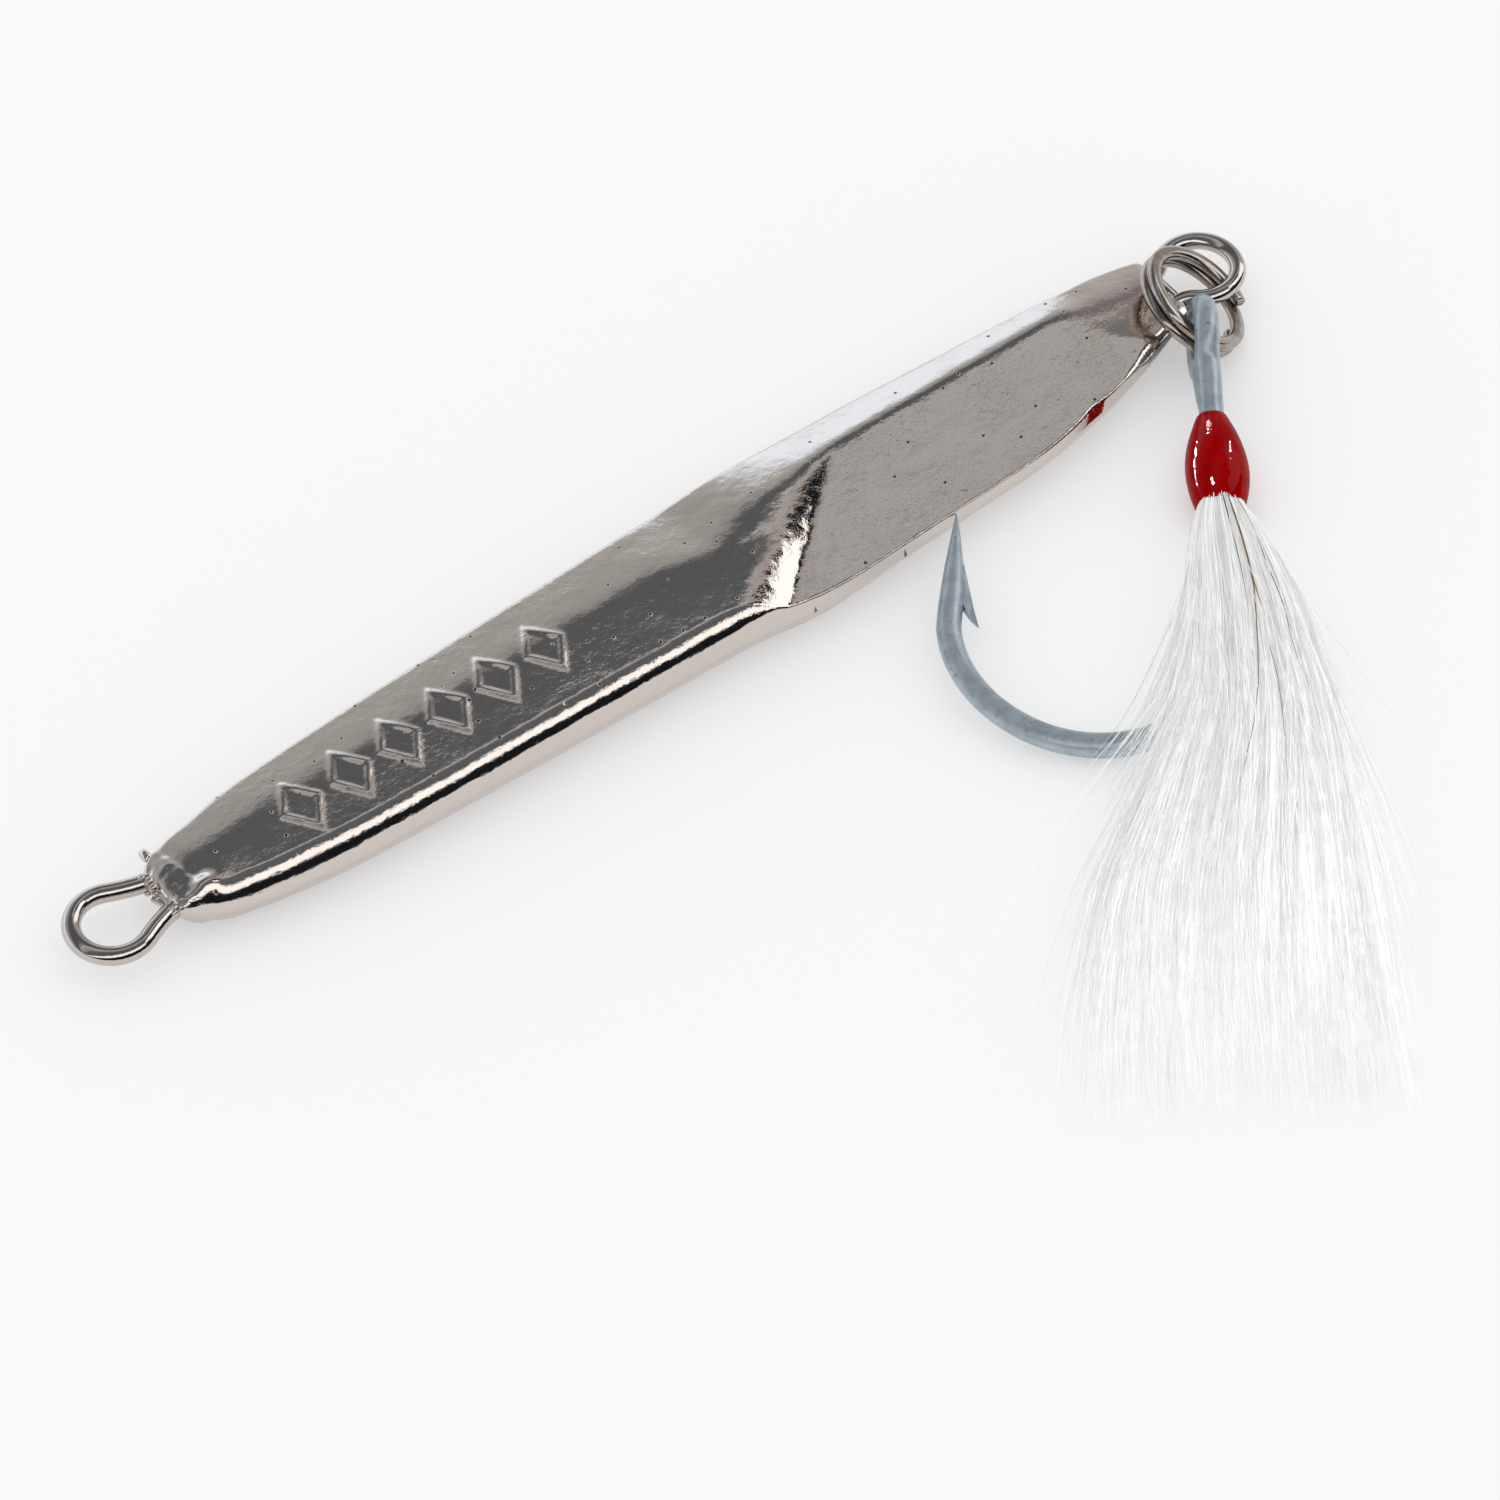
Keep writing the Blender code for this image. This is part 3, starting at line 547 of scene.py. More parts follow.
def lozenge_relief(x, y):
    height = np.zeros_like(x)
    to_distance = 1.0 / math.hypot(1 / LOZENGE_HALF_X, 1 / LOZENGE_HALF_Y)
    line_height = 0.125 + 0.03 * noise_2d(x, y, cell=0.9, seed=51)
    for centre_x, centre_y in LOZENGE_CENTRES:
        reach = np.abs((x - centre_x) / LOZENGE_HALF_X) + np.abs((y - centre_y) / LOZENGE_HALF_Y)
        distance = (reach - 1.0) * to_distance
        height = np.maximum(height, line_height * np.exp(-(distance / LOZENGE_LINE) ** 2))
    return height


def top_surface(x, y, near, far):
    """Height of the upper surface and the lozenge relief in it, for one section."""
    along = np.full_like(y, x)
    from_near, from_far = y - near, far - y
    end = float(ease((abs(x) - 40.0) / 5.0))
    behind = float(step_share(x, near))
    facet = math.exp(-((x - 34.2) / 2.6) ** 2)

    # the near edge is rounded, meeting the flat at a slight crease on the nose half
    wave = (0.05 * float(noise_2d(x, 0.0, cell=1.1, seed=9))
            + 0.035 * float(noise_2d(x, 3.0, cell=0.45, seed=10)))
    radius = lerp(lerp(2.15, 0.22, behind), 1.2, end)
    radius = lerp(radius, 0.9, float(ease((x - 36.5) / 5.0)))
    radius = radius + 0.6 * wave * min(1.0, radius)
    crease = 0.25 * (1.0 - behind) * (1.0 - end)
    arc = np.sqrt(np.maximum(radius**2 - (radius - from_near) ** 2, 0.0))
    drop = np.where(from_near < radius, radius - arc, 0.0)
    drop = drop - radius * (1.0 - math.sqrt(1.0 - crease**2))
    z = crown_height(along, y) - np.maximum(drop, 0.0)

    # steep walls down to the parting plane
    near_wall = (lerp(6.0, 1.62, facet) * from_near
                 + lerp(0.12, lerp(0.02, 0.22, facet), behind) + wave)
    z = soft_min(z, near_wall, lerp(0.05, 0.03, behind))
    far_blend = lerp(lerp(0.16, 0.07, float(ease(x / 7.0))), 0.28, end)
    z = soft_min(z, lerp(2.4, 5.0, end) * from_far, far_blend)
    z = np.maximum(z, 0.0)

    # coarser skin round the step and along the near edge
    far_fade = ease((from_far - 0.6) / 1.2)
    fade = ease((from_near - 0.5) / 1.2) * far_fade
    rough = (0.5 * noise_2d(along, y, cell=0.75, seed=3)
             + 0.5 * noise_2d(along, y, cell=2.2, seed=4))
    at_step = math.exp(-((x - 7.0) / 4.6) ** 2) * ease((from_near - 0.3) / 0.8) * far_fade
    at_edge = (ease(from_near / 0.4) * (1.0 - ease((from_near - 1.7) / 0.9))
               * (1.0 - behind) * (1.0 - end))
    skin = (0.010 * noise_2d(along, y, cell=0.75, seed=60)
            + 0.0065 * noise_2d(along, y, cell=0.40, seed=61)) * at_step
    skin = skin + 0.0085 * noise_2d(along, y, cell=0.46, seed=62) * at_edge
    relief = lozenge_relief(along, y) * fade
    return z + relief + 0.006 * rough * fade + skin, relief


def end_inset(x):
    """How far a section draws in where the nose and tail are rounded."""
    def quarter(depth, into, length):
        return depth * (1 - math.sqrt(max(0.0, 1 - (into / length) ** 2)))

    if x < NOSE_X + NOSE_ROUND:
        return quarter(NOSE_INSET, NOSE_X + NOSE_ROUND - x, NOSE_ROUND)
    if x > TAIL_X - TAIL_ROUND:
        return quarter(TAIL_ROUND, x - TAIL_X + TAIL_ROUND, TAIL_ROUND)
    return 0.0


def casting_section(x):
    """Closed ring of points: over the top, then back along the plain underside."""
    far, near = float(FAR(x)), float(NEAR(x))
    y = near + (far - near) * ACROSS
    z, relief = top_surface(x, y, near, far)
    travelled = np.concatenate([[0], np.cumsum(np.hypot(np.diff(y), np.diff(z)))])
    top = np.linspace(0, travelled[-1], TOP_POINTS)
    under = np.linspace(0, travelled[-1], LOWER_POINTS + 2)[1:-1]
    top_z = np.interp(top, travelled, z)
    under_y = far + near - np.interp(under, travelled, y)
    ring_y = np.concatenate([np.interp(top, travelled, y), under_y])
    ring_z = np.concatenate([top_z, -np.interp(under, travelled, z - relief)])
    inset = end_inset(x)
    if inset > 0:
        middle = 0.5 * (far + near)
        ring_y = middle + (ring_y - middle) * (1 - inset / (0.5 * (far - near)))
        ring_z = ring_z * max(0.12, 1 - inset / max(top_z.max(), 0.1))
    height = np.maximum(PARTING + ring_z, 0.0)
    return np.stack([np.full_like(ring_y, x), ring_y, height], 1)


def casting():
    nose = [NOSE_X + NOSE_ROUND * (1 - math.sin(a))
            for a in np.linspace(math.pi / 2, 0, 21)[:-1]]
    tail = [TAIL_X - TAIL_ROUND * (1 - math.sin(a))
            for a in np.linspace(0, math.pi / 2, 8)[1:]]
    middle = []
    for (start, spacing), (stop, _) in zip(STRETCHES, STRETCHES[1:]):
        middle += list(np.arange(start, stop, spacing))
    xs = np.array(nose + middle + [TAIL_X - TAIL_ROUND] + tail)
    rings = np.array([casting_section(x) for x in xs])
    rows, cols = rings.shape[:2]
    centre = rows * cols
    last = centre - cols
    verts = np.concatenate([rings.reshape(-1, 3), rings[0].mean(0)[None], rings[-1].mean(0)[None]])
    faces = grid_faces(rows, cols)[:, ::-1].tolist()
    faces += [[(j + 1) % cols, j, centre] for j in range(cols)]
    faces += [[last + j, last + (j + 1) % cols, centre + 1] for j in range(cols)]
    obj = add_mesh("casting", verts, faces, NICKEL)
    hand_over(obj, "lure", ["jig_body"])


def sprue_remnant():
    """A small lump on the far side of the nose."""
    centre = np.array([-44.75, 3.30, PARTING + 0.34])
    radii = np.array([0.42, 0.66, 0.42])
    work = bmesh.new()
    bmesh.ops.create_icosphere(work, subdivisions=3, radius=1.0)
    for vert in work.verts:
        way = vert.co.normalized()
        swell = 1 + 0.12 * math.sin(4 * way.x + 2) * math.cos(3 * way.y)
        vert.co = Vector(centre + radii * np.array(way) * swell) * MM
    hand_over(add_bmesh("sprue_remnant", work, NICKEL), "lure")


def nose_beads():
    """Beads of plated metal round the two wires and between them, where they leave the nose."""
    rng = np.random.default_rng(8)
    wire_y, ring_radius, per_group = 1.48, 0.66, 9
    spots = []                      # x, y, z, bead radius
    for side in (-1, 1):
        for k in range(per_group):
            angle = 2 * math.pi * k / per_group + rng.uniform(-0.2, 0.2)
            spots.append((-46.05 + rng.uniform(-0.28, 0.22),
                          side * wire_y + ring_radius * math.cos(angle),
                          PARTING + ring_radius * math.sin(angle),
                          rng.uniform(0.16, 0.33)))
    for _ in range(per_group):
        spots.append((-46.1 + rng.uniform(-0.1, 0.15), rng.uniform(-0.8, 0.8),
                      PARTING + rng.uniform(-0.5, 0.7), rng.uniform(0.18, 0.36)))
    work = bmesh.new()
    for x, y, z, radius in spots:
        made = bmesh.ops.create_icosphere(work, subdivisions=2, radius=radius * MM)
        for vert in made["verts"]:
            vert.co = Vector((vert.co.x * 1.5, vert.co.y, vert.co.z)) + Vector((x, y, z)) * MM
    hand_over(add_bmesh("nose_beads", work, NICKEL), "lure")


# ====================================================================== the wire
EYE_RADIUS = 2.88
NOSE_EYE, TAIL_EYE = (-50.1, 0.0), (49.6, 0.9)
# x, wire radius: a little thicker round the eyes
WIRE_RADII = ((-53.0, 0.72), (-50.0, 0.70), (-45.5, 0.69), (-42.0, 0.60), (46.0, 0.60), (49.0, 0.65))


def wire_eye(centre, side, opening, foot, bend, pull, curve_points, arc_points):
    """Neck, eye and neck; side is 1 where the eye opens towards +X and -1 towards -X.

    opening is half the open angle in degrees; foot and bend are (x, distance from the eye's
    axis) of the neck's start and its first handle; pull is the handle length at the eye.
    """
    cx, cy = centre
    opening = math.radians(opening)
    angle = np.linspace(opening, 2 * math.pi - opening, arc_points)
    arc = np.stack([cx + side * EYE_RADIUS * np.cos(angle),
                    cy - side * EYE_RADIUS * np.sin(angle), np.full_like(angle, PARTING)], 1)
    lead_x, lead_y = side * pull * math.sin(opening), side * pull * math.cos(opening)

    def neck(way):
        return [(x, cy - way * side * offset, PARTING) for x, offset in (foot, bend)]

    arrive, leave = neck(1), neck(-1)
    return [
        bezier(*arrive, arc[0] + [lead_x, lead_y, 0.0], arc[0], curve_points),
        arc,
        bezier(arc[-1], arc[-1] + [lead_x, -lead_y, 0.0], leave[1], leave[0], curve_points),
    ]


def wire_path():
    def level(*points):
        return [np.array([(x, y, PARTING) for x, y in points])]

    tail_y = TAIL_EYE[1]
    return np.concatenate(
        level((-40.0, -1.15), (-43.0, -1.25))
        + wire_eye(NOSE_EYE, side=1, opening=64.0, foot=(-44.4, 1.3), bend=(-45.8, 1.35),
                   pull=1.2, curve_points=12, arc_points=60)
        + level((-44.4, 1.3), (-40.0, 1.2), (-20.0, 0.9), (10.0, 0.6), (28.0, 1.6),
                (38.0, 2.2), (43.0, 2.35))
        + wire_eye(TAIL_EYE, side=-1, opening=46.0, foot=(44.6, 1.5), bend=(45.6, 1.55),
                   pull=1.0, curve_points=10, arc_points=56)
        + level((44.6, tail_y - 1.5), (41.0, tail_y - 1.4)))


def line_wire():
    path = resample(wire_path(), spacing=0.28)
    verts, faces = tube(path, look_up(path[:, 0], WIRE_RADII), sides=28)
    obj = add_mesh("line_wire", verts, faces, WIRE)
    hand_over(obj, "lure", ["through_wire"])


# ====================================================================== the ring
RING_AXIS = unit([0.499, -0.265, 0.735])
RING_CENTRE = np.array([46.75, -1.96, 3.52])
RING_RADIUS, RING_TURNS, RING_PITCH = 4.06, 1.93, 0.86
RING_START = math.radians(-78.0)
RING_WIRE = 0.43


def ring_section(angle):
    """Squarish section, a little wider along the second direction."""
    power = 0.72
    c, s = np.cos(angle), np.sin(angle)
    return np.sign(c) * np.abs(c) ** power * 0.96, np.sign(s) * np.abs(s) ** power * 1.25


def ring_coils():
    level = unit(np.cross([0, 0, 1.0], RING_AXIS))
    slope = unit(np.cross(RING_AXIS, level))
    turn = np.linspace(0, RING_TURNS, 330)
    angle = (RING_START + 2 * math.pi * turn)[:, None]
    lift = RING_PITCH * (0.5 * RING_TURNS - turn)
    path = (RING_CENTRE + (level * np.cos(angle) + slope * np.sin(angle)) * RING_RADIUS
            + RING_AXIS * lift[:, None])
    radius = np.full(len(path), RING_WIRE)
    ends = np.array([0.86, 0.96])   # the cut ends are slightly rounded over
    radius[:2] *= ends
    radius[-2:] *= ends[::-1]
    verts, faces = tube(path, radius, sides=26, up=RING_AXIS, section=ring_section)
    obj = add_mesh("ring_coils", verts, faces, RING)
    hand_over(obj, "ring", ["split_ring"])


# ====================================================================== the hook
# The hook's own axes are (s, -q, p): s runs along the shank from the eye's centre,
# q across it towards the point, and p is roughly upwards.
HOOK_AXES = np.array(
    Matrix.Translation(Vector((44.90, -5.26, 3.42)))
    @ Matrix.Rotation(math.radians(-124.6), 4, "Z")
    @ Matrix.Rotation(math.radians(4.5), 4, "Y")
    @ Matrix.Rotation(math.radians(-3.5), 4, "X")
)
SHANK_END, BEND_RADIUS = 26.1, 10.3
HOOK_WIRE = 0.925                   # wire radius
HOOK_EYE = 2.45                     # radius of the eye's centre line
POINT_S = 15.7
# path index, radius: the tapered wire end at the eye
HOOK_START = ((0, 0.50), (3, 0.66), (8, 0.84), (19, HOOK_WIRE))
# s, radius of the spear
SPEAR_RADII = (
    (POINT_S, 0.03), (16.4, 0.15), (17.9, 0.38), (20.3, 0.68), (22.0, 0.83), (23.4, 0.90),
    (25.0, 0.92), (SHANK_END, HOOK_WIRE),
)
# s, q of the spear's side away from the shank
SPEAR_OUTER = (
    (POINT_S, 19.34), (18.6, 20.06), (20.6, 20.54), (22.5, 20.93), (24.5, 21.30),
    (SHANK_END, 21.525),
)
# s, q, half thickness round the barb's outline
BARB = np.array([
    (19.2, 19.52, 0.10), (20.6, 19.10, 0.28), (22.4, 18.93, 0.36), (24.4, 18.72, 0.34),
    (25.95, 18.42, 0.05), (25.2, 18.95, 0.22), (24.2, 19.42, 0.36), (23.3, 19.85, 0.42),
    (21.0, 19.95, 0.42), (19.6, 19.90, 0.25),
])


def from_hook(local):
    """(s, -q, p) in the hook's own axes to the frame."""
    return np.asarray(local) @ HOOK_AXES[:3, :3].T + HOOK_AXES[:3, 3]


def hook_line():
    """Centre line of the eye, shank and bend in the hook's own axes."""
    def on_eye(angle):
        return np.stack([HOOK_EYE * np.cos(angle), 0 * angle, HOOK_EYE * np.sin(angle)], -1)

    def along_eye(angle):
        return np.array([-math.sin(angle), 0, math.cos(angle)])

    first, last = math.radians(-42.0), math.radians(-318.0)
    low, top = on_eye(first), on_eye(last)
    bend = np.linspace(0, math.pi, 90)[1:]
    bulge = 1.0 + 0.035 * np.sin(bend) ** 2
    return np.concatenate([
        bezier((7.7, 0, -0.28), (5.6, 0, -1.02), low + along_eye(first) * 1.3, low, 20),
        on_eye(np.radians(np.linspace(-42.0, -318.0, 60))),
        bezier(top, top - along_eye(last) * 1.1, (3.1, 0, 0.97), (4.0, 0, 0.90), 10),
        bezier((4.0, 0, 0.90), (5.9, 0, 0.76), (6.6, 0, 0), (9.6, 0, 0), 18),
        np.stack([np.linspace(9.6, SHANK_END, 50), np.zeros(50), np.zeros(50)], 1),
        np.stack([SHANK_END + BEND_RADIUS * np.sin(bend) * bulge * 0.97,
                  -BEND_RADIUS + BEND_RADIUS * np.cos(bend), 0 * bend], 1),
    ])


def barb(first):
    """The sliver lifted off the spear's inner side; its vertices are numbered from first."""
    s, q, half = BARB.T
    inner_s, inner_q = s + (22.6 - s) * 0.25, q + (19.45 - q) * 0.45
    raised = half + 0.08
    layers = ((s, q, half), (s, q, -half), (inner_s, inner_q, raised), (inner_s, inner_q, -raised))
    verts = np.concatenate([from_hook(np.stack([a, -b, h], 1)) for a, b, h in layers])
    count = len(BARB)
    top, bottom, inner_top, inner_bottom = (first + k * count for k in range(4))
    faces = []
    for i in range(count):
        j = (i + 1) % count
        faces.append([top + i, top + j, bottom + j, bottom + i])
        faces.append([inner_top + i, inner_top + j, top + j, top + i])
        faces.append([bottom + i, bottom + j, inner_bottom + j, inner_bottom + i])
    faces.append([inner_top + i for i in range(count)])
    faces.append([inner_bottom + i for i in reversed(range(count))])
    return verts, faces


def hook_steel():
    line = hook_line()
    leg = line[-1]
    s = np.linspace(leg[0], POINT_S, 60)[1:]
    spear_radius = look_up(s, SPEAR_RADII)
    q = look_up(s, SPEAR_OUTER) - spear_radius
    # ease the spear into the end of the bend
    q = q + (-leg[1] - q[0]) * np.linspace(1, 0, len(q)) ** 3
    radius = np.concatenate([np.full(len(line), HOOK_WIRE), spear_radius])
    radius[:20] = look_up(np.arange(20), HOOK_START)
    path = np.concatenate([line, np.stack([s, -q, 0 * s], 1)])
    verts, faces = tube(from_hook(path), radius, sides=30)
    barb_verts, barb_faces = barb(first=len(verts))
    obj = add_mesh("hook_steel", np.concatenate([verts, barb_verts]), faces + barb_faces, HOOK,
                   sharp_angle=50)
    hand_over(obj, "hook_assembly", ["hook"])


# ============================================================ thread and lacquer
# s, radius about the shank
HEAD = np.array([
    (7.15, 0.97), (7.35, 1.16), (7.8, 1.34), (8.5, 1.60), (9.3, 1.86), (10.1, 2.06),
    (10.9, 2.21), (11.7, 2.30), (12.5, 2.33), (13.3, 2.29), (14.0, 2.20), (14.6, 2.08),
    (15.1, 1.95), (15.45, 1.80), (15.55, 1.62), (15.4, 1.42),
])


def lacquer_cap():
    outline = cut_corners(np.concatenate([HEAD, np.zeros((len(HEAD), 1))], 1), times=3)
    length = np.linalg.norm(np.diff(outline, axis=0), axis=1).sum()
    profile = resample(outline, spacing=length / 90)
    sides = 96
    angle = np.linspace(0, 2 * math.pi, sides, endpoint=False)[None]
    s, radius = profile[:, :1], profile[:, 1:2]
    # faint thread turns showing through, and a slightly uneven coat
    turns = (0.006 * np.sin(2 * np.pi * s / 0.36 + angle)
             * ease((s - 8.2) / 1.0) * ease((14.0 - s) / 1.0))
    uneven = (0.035 * np.sin(2 * angle + 0.7 * s) * ease((s - 7.5) / 2)
              + 0.02 * np.sin(3 * angle - 0.9 * s))
    radius = radius + turns + uneven
    local = np.stack([s + 0 * radius, radius * np.cos(angle), radius * np.sin(angle)], -1)
    faces = grid_faces(len(profile), sides).tolist()
    obj = add_mesh("lacquer_cap", from_hook(local.reshape(-1, 3)), faces, LACQUER)
    return hand_over(obj, "hook_assembly", ["lacquer_head"])


def thread_turns():
    """The binding thread, wound close round the butts of the hair."""
    turns, start, end = 17, 9.3, 15.2
    below_lacquer, thread_radius = 0.36, 0.17
    turn = np.linspace(0, turns, turns * 36)
    s = start + (end - start) * turn / turns
    radius = look_up(s, HEAD[:14]) - below_lacquer
    angle = 2 * math.pi * turn
    path = from_hook(np.stack([s, radius * np.cos(angle), radius * np.sin(angle)], 1))
    verts, faces = tube(path, thread_radius, sides=8)
    obj = add_mesh("thread_turns", verts, faces, THREAD)
    hand_over(obj, "hook_assembly", ["thread_wrap"])


# ====================================================================== the hair
# envelope of the hair: s, least q, greatest q, least p, greatest p
ENVELOPE = np.array([
    (13.0, -1.30, 1.30, -1.35, 1.35), (15.2, -1.50, 1.42, -1.45, 1.55),
    (17.0, -2.4, 2.0, -1.9, 2.1), (20.0, -3.3, 2.6, -2.0, 2.6), (26.0, -4.8, 3.5, -1.8, 3.1),
    (34.5, -6.2, 5.0, -0.9, 3.5), (42.0, -7.0, 8.0, -0.1, 3.7), (50.0, -7.4, 11.2, 0.5, 3.9),
    (58.0, -7.4, 12.8, 1.1, 4.1), (64.0, -7.4, 13.6, 1.5, 4.1), (69.0, -7.4, 13.8, 1.8, 4.0),
])
ROOT_S, REACH_S = 13.2, 68.0        # where the hair starts, and its end at length 1
STRAND_POINTS = 14
HAIR_TOP = 6.9                      # greatest height above the floor
TIP_RADIUS = 0.008


def strands(name, points, radii, tone, material, sides=3):
    """All strands, given as (strand, point, xyz), in one mesh of thin tapering tubes."""
    count, length = points.shape[:2]
    tangent = unit(np.gradient(points, axis=1))
    guide = unit(np.random.default_rng(len(name) * 7 + count).normal(size=(count, 1, 3)))
    normal = unit(guide - tangent * (guide * tangent).sum(-1, keepdims=True))[:, :, None]
    side = np.cross(tangent, normal[:, :, 0])[:, :, None]
    angle = np.linspace(0, 2 * math.pi, sides, endpoint=False)[None, None, :, None]
    across = np.cos(angle) * normal + np.sin(angle) * side
    verts = (points[:, :, None] + radii[:, :, None, None] * across).reshape(-1, 3)
    firsts = (np.arange(count) * length * sides)[:, None, None]
    faces = (grid_faces(length, sides)[None] + firsts).reshape(-1, 4).tolist()
    obj = add_mesh(name, verts, faces, material, recalculate=False)
    attribute = obj.data.attributes.new("tone", "FLOAT", "POINT")
    values = np.repeat(tone, length * sides).astype(np.float32)
    attribute.data.foreach_set("value", values)
    return obj


def clear_of_wire(s, q, p, gap=1.04):
    """Moves hair points that would pass through the shank or the bend."""
    on_shank = s < SHANK_END
    to_bend = np.abs(np.hypot(s - SHANK_END, q - BEND_RADIUS) - BEND_RADIUS)
    distance = np.where(on_shank, np.abs(q), to_bend)
    needed = np.sqrt(np.maximum(gap**2 - distance**2, 0.0))
    inside = (distance < gap) & (np.abs(p) < needed)
    over = ~on_shank | (p > -0.35)
    return np.where(inside, np.where(over, needed, -needed), p)


def hair_bundle(name, count, seed, across, pile, stands_for=(), material=HAIR,
                length=(0.48, 1.05), thick=0.050, wild=1.0, cross=0.22):
    """A bundle of hairs.

    across and pile are the ranges filled over the envelope in q (-1..1) and p (0..1), and
    length the range of reach. thick is the root radius, wild how far tips wander and cross
    how much hairs drift sideways over each other.
    """
    rng = np.random.default_rng(seed)
    column = (count, 1)
    u = rng.uniform(*across, count)
    u = (np.sign(u) * np.abs(u) ** 0.92)[:, None]
    height = 2 * rng.uniform(*pile, count)[:, None] - 1
    reach = length[0] + (length[1] - length[0]) * rng.beta(2.3, 1.45, count)
    tip_s = (ROOT_S + (REACH_S - ROOT_S) * reach)[:, None]
    t = np.linspace(0, 1, STRAND_POINTS)[None] ** 1.6
    s = ROOT_S + (tip_s - ROOT_S) * t
    q_low, q_high, p_low, p_high = (
        np.interp(s, ENVELOPE[:, 0], ENVELOPE[:, k]) for k in range(1, 5))

    # near the binding the cross-section is round, further out it is a flattened fan
    u = u + cross * rng.normal(0, 1, column) * (t - 0.25) * ease((t - 0.1) / 0.5)
    u = np.clip(u, -1.06, 1.06)
    spread = ease((s - 14.5) / 9.0)
    arch = np.sqrt(np.maximum(1 - (0.92 * u) ** 2, 0.0))
    q_half, p_half = 0.5 * (q_high - q_low), 0.5 * (p_high - p_low)
    q_fan = 0.5 * (q_low + q_high) + q_half * u
    p_fan = 0.5 * (p_low + p_high) + p_half * height * (0.35 + 0.65 * arch)
    q = lerp(q_half * u, q_fan, spread)
    p = lerp(q_half * height * arch, p_fan, spread)

    # each hair wanders a little, more towards its tip
    lean, curl, phase = rng.normal(0, 1, (3, count, 1))
    q = q + wild * (0.95 * lean * t**2 + 0.55 * curl * t**3 * np.sin(3.0 * t + phase))
    p = p + wild * 0.30 * rng.normal(0, 1, column) * t**2
    kink = rng.uniform(0, 6.28, column)
    kink_size = 0.10 * rng.random(column)
    kink_rate = rng.uniform(0.5, 1.1, column)
    q = q + kink_size * np.sin(s * kink_rate + kink) * ease((s - 16) / 6)
    p = clear_of_wire(s, q, p)
    points = from_hook(np.stack([s, -q, p], -1).reshape(-1, 3)).reshape(count, STRAND_POINTS, 3)

    # rest softly on the floor
    rest = 0.10 + 0.10 * rng.random(column)
    above = points[:, :, 2] - rest
    z = rest + 0.5 * (above + np.sqrt(above**2 + 0.02))
    points[:, :, 2] = np.minimum(z, HAIR_TOP)
    radii = thick * rng.uniform(0.75, 1.2, column) * (1 - 0.80 * t**1.8)
    radii[:, -1] = TIP_RADIUS
    obj = strands(name, points, radii, rng.random(count) ** 0.7, material)
    hand_over(obj, "hook_assembly", stands_for)


def hair_all():
    share = 1.0
    # name, hairs, seed, range across, range in the pile
    for name, count, seed, across, pile in (
        ("upper", 2500, 11, (-0.98, 0.90), (0.55, 1.0)),
        ("lower", 2100, 12, (-0.96, 0.92), (0.0, 0.55)),
        ("left", 1700, 13, (0.05, 0.98), (0.10, 0.90)),
        ("right", 1900, 14, (-1.0, -0.05), (0.15, 0.95)),
    ):
        hair_bundle("hair_" + name, int(count * share), seed, across, pile, ["bucktail_" + name])
    hair_bundle("hair_stray", int(520 * share), seed=15, across=(-1.08, 1.10), pile=(0.2, 1.1),
                length=(0.25, 0.98), thick=0.045, wild=2.0, cross=0.5)
    hair_bundle("hair_over_bend", int(280 * share), seed=31, across=(0.66, 1.0), pile=(0.3, 1.1),
                length=(0.36, 0.60), thick=0.045, wild=2.6, cross=0.40)
    hair_bundle("hair_guard_dark", 1, seed=24, across=(0.02, 0.10), pile=(1.05, 1.12),
                material=HAIR_DARK, length=(0.24, 0.30), thick=0.062, wild=0.5, cross=0.05)
    hair_bundle("hair_guard_dark_side", 1, seed=26, across=(-0.62, -0.55), pile=(1.00, 1.08),
                material=HAIR_DARK, length=(0.34, 0.40), thick=0.052, wild=0.5, cross=0.05)
    hair_bundle("hair_guard_golden", 2, seed=23, across=(-0.22, -0.12), pile=(1.05, 1.12),
                material=HAIR_BROWN, length=(0.50, 0.60), thick=0.052, wild=1.2, cross=0.3)


# ======================================================================== studio
# What polished metal sees: (degrees about X from +Y up over +Z, colour)
MAIN_CARDS = (
    (0.0, (1.24, 1.37, 1.54)), (10.0, (1.18, 1.31, 1.47)), (15.0, (0.98, 1.07, 1.18)),
    (20.5, (0.60, 0.60, 0.60)), (29.0, (0.47, 0.47, 0.465)), (38.0, (0.40, 0.41, 0.415)),
    (43.0, (0.20, 0.21, 0.22)), (49.0, (0.125, 0.137, 0.152)), (60.0, (0.13, 0.142, 0.158)),
    (64.0, (0.17, 0.185, 0.20)), (66.0, (0.50, 0.52, 0.53)), (69.0, (0.64, 0.65, 0.65)),
    (73.0, (0.50, 0.51, 0.52)), (77.5, (0.41, 0.42, 0.43)), (81.0, (0.38, 0.39, 0.40)),
    (86.0, (0.17, 0.18, 0.19)), (118.0, (0.13, 0.14, 0.15)), (121.0, (1.5, 1.5, 1.5)),
    (143.0, (1.6, 1.58, 1.55)), (145.0, (0.012, 0.013, 0.016)), (170.0, (0.01, 0.011, 0.014)),
    (180.0, (0.02, 0.02, 0.022)),
)
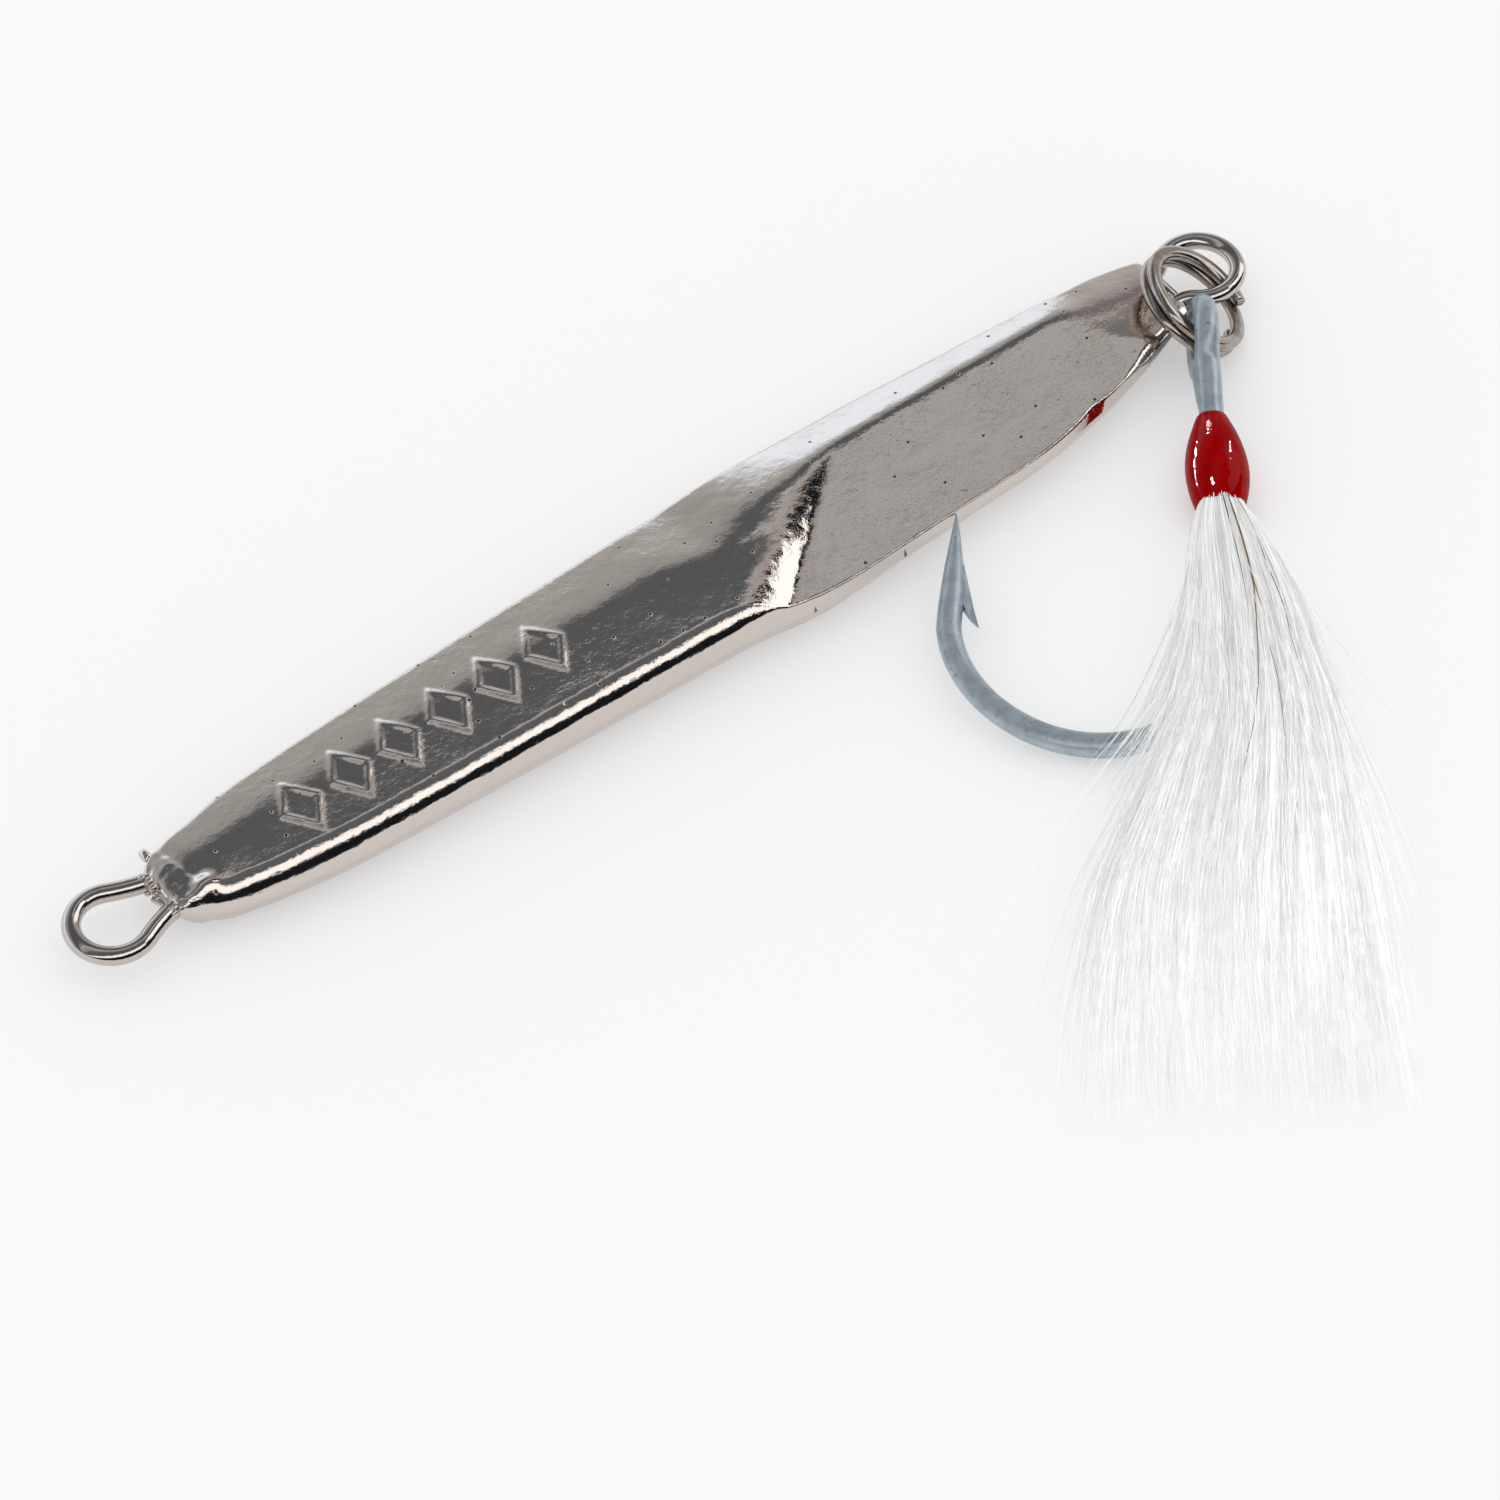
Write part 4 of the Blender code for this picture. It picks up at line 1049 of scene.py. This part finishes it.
SIDE_CARDS = (
    (0.0, (0.9, 0.92, 0.95)), (14.0, (0.70, 0.70, 0.71)), (40.0, (0.42, 0.40, 0.40)),
    (50.0, (0.22, 0.215, 0.22)), (60.0, (0.25, 0.25, 0.255)), (65.0, (0.52, 0.49, 0.48)),
    (76.6, (0.52, 0.49, 0.48)), (77.4, (0.008, 0.009, 0.015)), (92.5, (0.006, 0.007, 0.012)),
    (93.5, (1.9, 1.85, 1.8)), (126.0, (1.7, 1.68, 1.65)), (128.0, (0.012, 0.013, 0.016)),
    (180.0, (0.02, 0.02, 0.022)),
)
LOW_CARD = (
    (0.0, (0.5, 0.5, 0.5)), (60.0, (0.5, 0.5, 0.5)), (70.0, (1.7, 1.68, 1.65)),
    (126.0, (1.7, 1.68, 1.65)), (130.0, (0.02, 0.02, 0.02)), (180.0, (0.02, 0.02, 0.02)),
)
# name, direction towards the lamp, size in metres, watts
LAMPS = (
    ("lamp_left", (-0.38, 0.92, 0.05), (0.34, 0.018), 26.0),
    ("lamp_front", (-0.19, 0.32, 0.93), (0.080, 0.050), 12.0),
    ("lamp_back", (0.34, 0.88, 0.34), (0.10, 0.016), 1.3),
    ("lamp_right", (0.92, 0.20, 0.42), (0.012, 0.05), 1.2),
)
LAMP_TARGET = Vector((38.4, -14.6, 2.5)) * MM
LAMP_DISTANCE = 0.5                 # metres
CAMERA_TARGET = Vector((-3.658, -13.378, 0.0)) * MM
CAMERA_TURN, CAMERA_RISE = math.radians(-38.12), math.radians(50.0)
CAMERA_DISTANCE = 800.0
VIEW_WIDTH = 107.143                # width seen at the target
SENSOR_WIDTH = 36.0


def floor():
    """A pale floor that glows a little, so shadows stay light."""
    size = 3.0                      # half width in metres
    corners = [(-size, -size, 0), (size, -size, 0), (size, size, 0), (-size, size, 0)]
    mesh = bpy.data.meshes.new("floor")
    mesh.from_pydata(corners, [], [(0, 1, 2, 3)])
    obj = bpy.data.objects.new("floor", mesh)
    SCENE.collection.objects.link(obj)
    nodes = Nodes(bpy.data.materials.new("pale_floor"))
    matt = nodes.new("ShaderNodeBsdfDiffuse", {0: (0.60, 0.60, 0.602)})
    glow = nodes.new("ShaderNodeEmission", {0: (0.345, 0.345, 0.346)})
    both = nodes.new("ShaderNodeAddShader", {0: matt.outputs[0], 1: glow.outputs[0]})
    pale = nodes.finish(both)
    pale.cycles.emission_sampling = "NONE"
    mesh.materials.append(pale)


def studio():
    """Soft white surroundings. Polished metal sees banded cards, everything else an even dome."""
    world = bpy.data.worlds.new("studio")
    SCENE.world = world
    nodes = Nodes(world, output="ShaderNodeOutputWorld")
    rays = nodes.new("ShaderNodeLightPath").outputs
    way = nodes.new("ShaderNodeTexCoord").outputs["Generated"]
    x, y, z = nodes.new("ShaderNodeSeparateXYZ", {0: way}).outputs
    angle = nodes.times(nodes.math("ARCTAN2", z, y), 1.0 / math.pi)
    # the side cards and then the low card take over towards +X
    cards = nodes.mix(nodes.step(x, low=0.530, high=0.555),
                      nodes.angle_ramp(angle, MAIN_CARDS), nodes.angle_ramp(angle, SIDE_CARDS))
    cards = nodes.mix(nodes.step(x, low=0.722, high=0.740),
                      cards, nodes.angle_ramp(angle, LOW_CARD))
    glossy, dome, backdrop = (
        nodes.new("ShaderNodeBackground", {0: colour})
        for colour in (cards, (1.0, 1.0, 1.0), (0.935, 0.935, 0.937)))
    lit = nodes.mix_shader(rays["Is Glossy Ray"], dome, glossy)
    nodes.finish(nodes.mix_shader(rays["Is Camera Ray"], lit, backdrop))
    world.cycles.sampling_method = "NONE"


def highlights(receiver):
    """Four small lamps that light only the receiver."""
    only = bpy.data.collections.new("lacquer_receives")
    only.objects.link(receiver)
    for name, way, size, watts in LAMPS:
        data = bpy.data.lights.new(name, "AREA")
        data.shape = "RECTANGLE"
        data.size, data.size_y = size
        data.energy = watts
        obj = bpy.data.objects.new(name, data)
        SCENE.collection.objects.link(obj)
        way = Vector(way).normalized()
        obj.location = LAMP_TARGET + way * LAMP_DISTANCE
        obj.rotation_mode = "QUATERNION"
        obj.rotation_quaternion = way.to_track_quat("Z", "Y")
        obj.visible_diffuse = False
        obj.visible_camera = False
        obj.light_linking.receiver_collection = only


def camera():
    data = bpy.data.cameras.new("camera")
    obj = bpy.data.objects.new("camera", data)
    SCENE.collection.objects.link(obj)
    back = Vector((math.sin(CAMERA_TURN) * math.cos(CAMERA_RISE),
                   -math.cos(CAMERA_TURN) * math.cos(CAMERA_RISE), math.sin(CAMERA_RISE)))
    obj.location = CAMERA_TARGET + back * (CAMERA_DISTANCE * MM)
    obj.rotation_mode = "QUATERNION"
    obj.rotation_quaternion = (-back).to_track_quat("-Z", "Y")
    data.sensor_width = SENSOR_WIDTH
    data.lens = SENSOR_WIDTH * CAMERA_DISTANCE / VIEW_WIDTH
    data.clip_start, data.clip_end = 0.01, 20.0
    SCENE.camera = obj


def render_settings():
    SCENE.view_settings.view_transform = "Standard"
    SCENE.view_settings.look = "None"
    SCENE.cycles.max_bounces = 16
    SCENE.cycles.diffuse_bounces = 12
    SCENE.cycles.glossy_bounces = 6
    SCENE.cycles.transmission_bounces = 12


casting()
sprue_remnant()
nose_beads()
line_wire()
ring_coils()
hook_steel()
lacquer_head = lacquer_cap()
thread_turns()
hair_all()
floor()
studio()
highlights(lacquer_head)
camera()
render_settings()
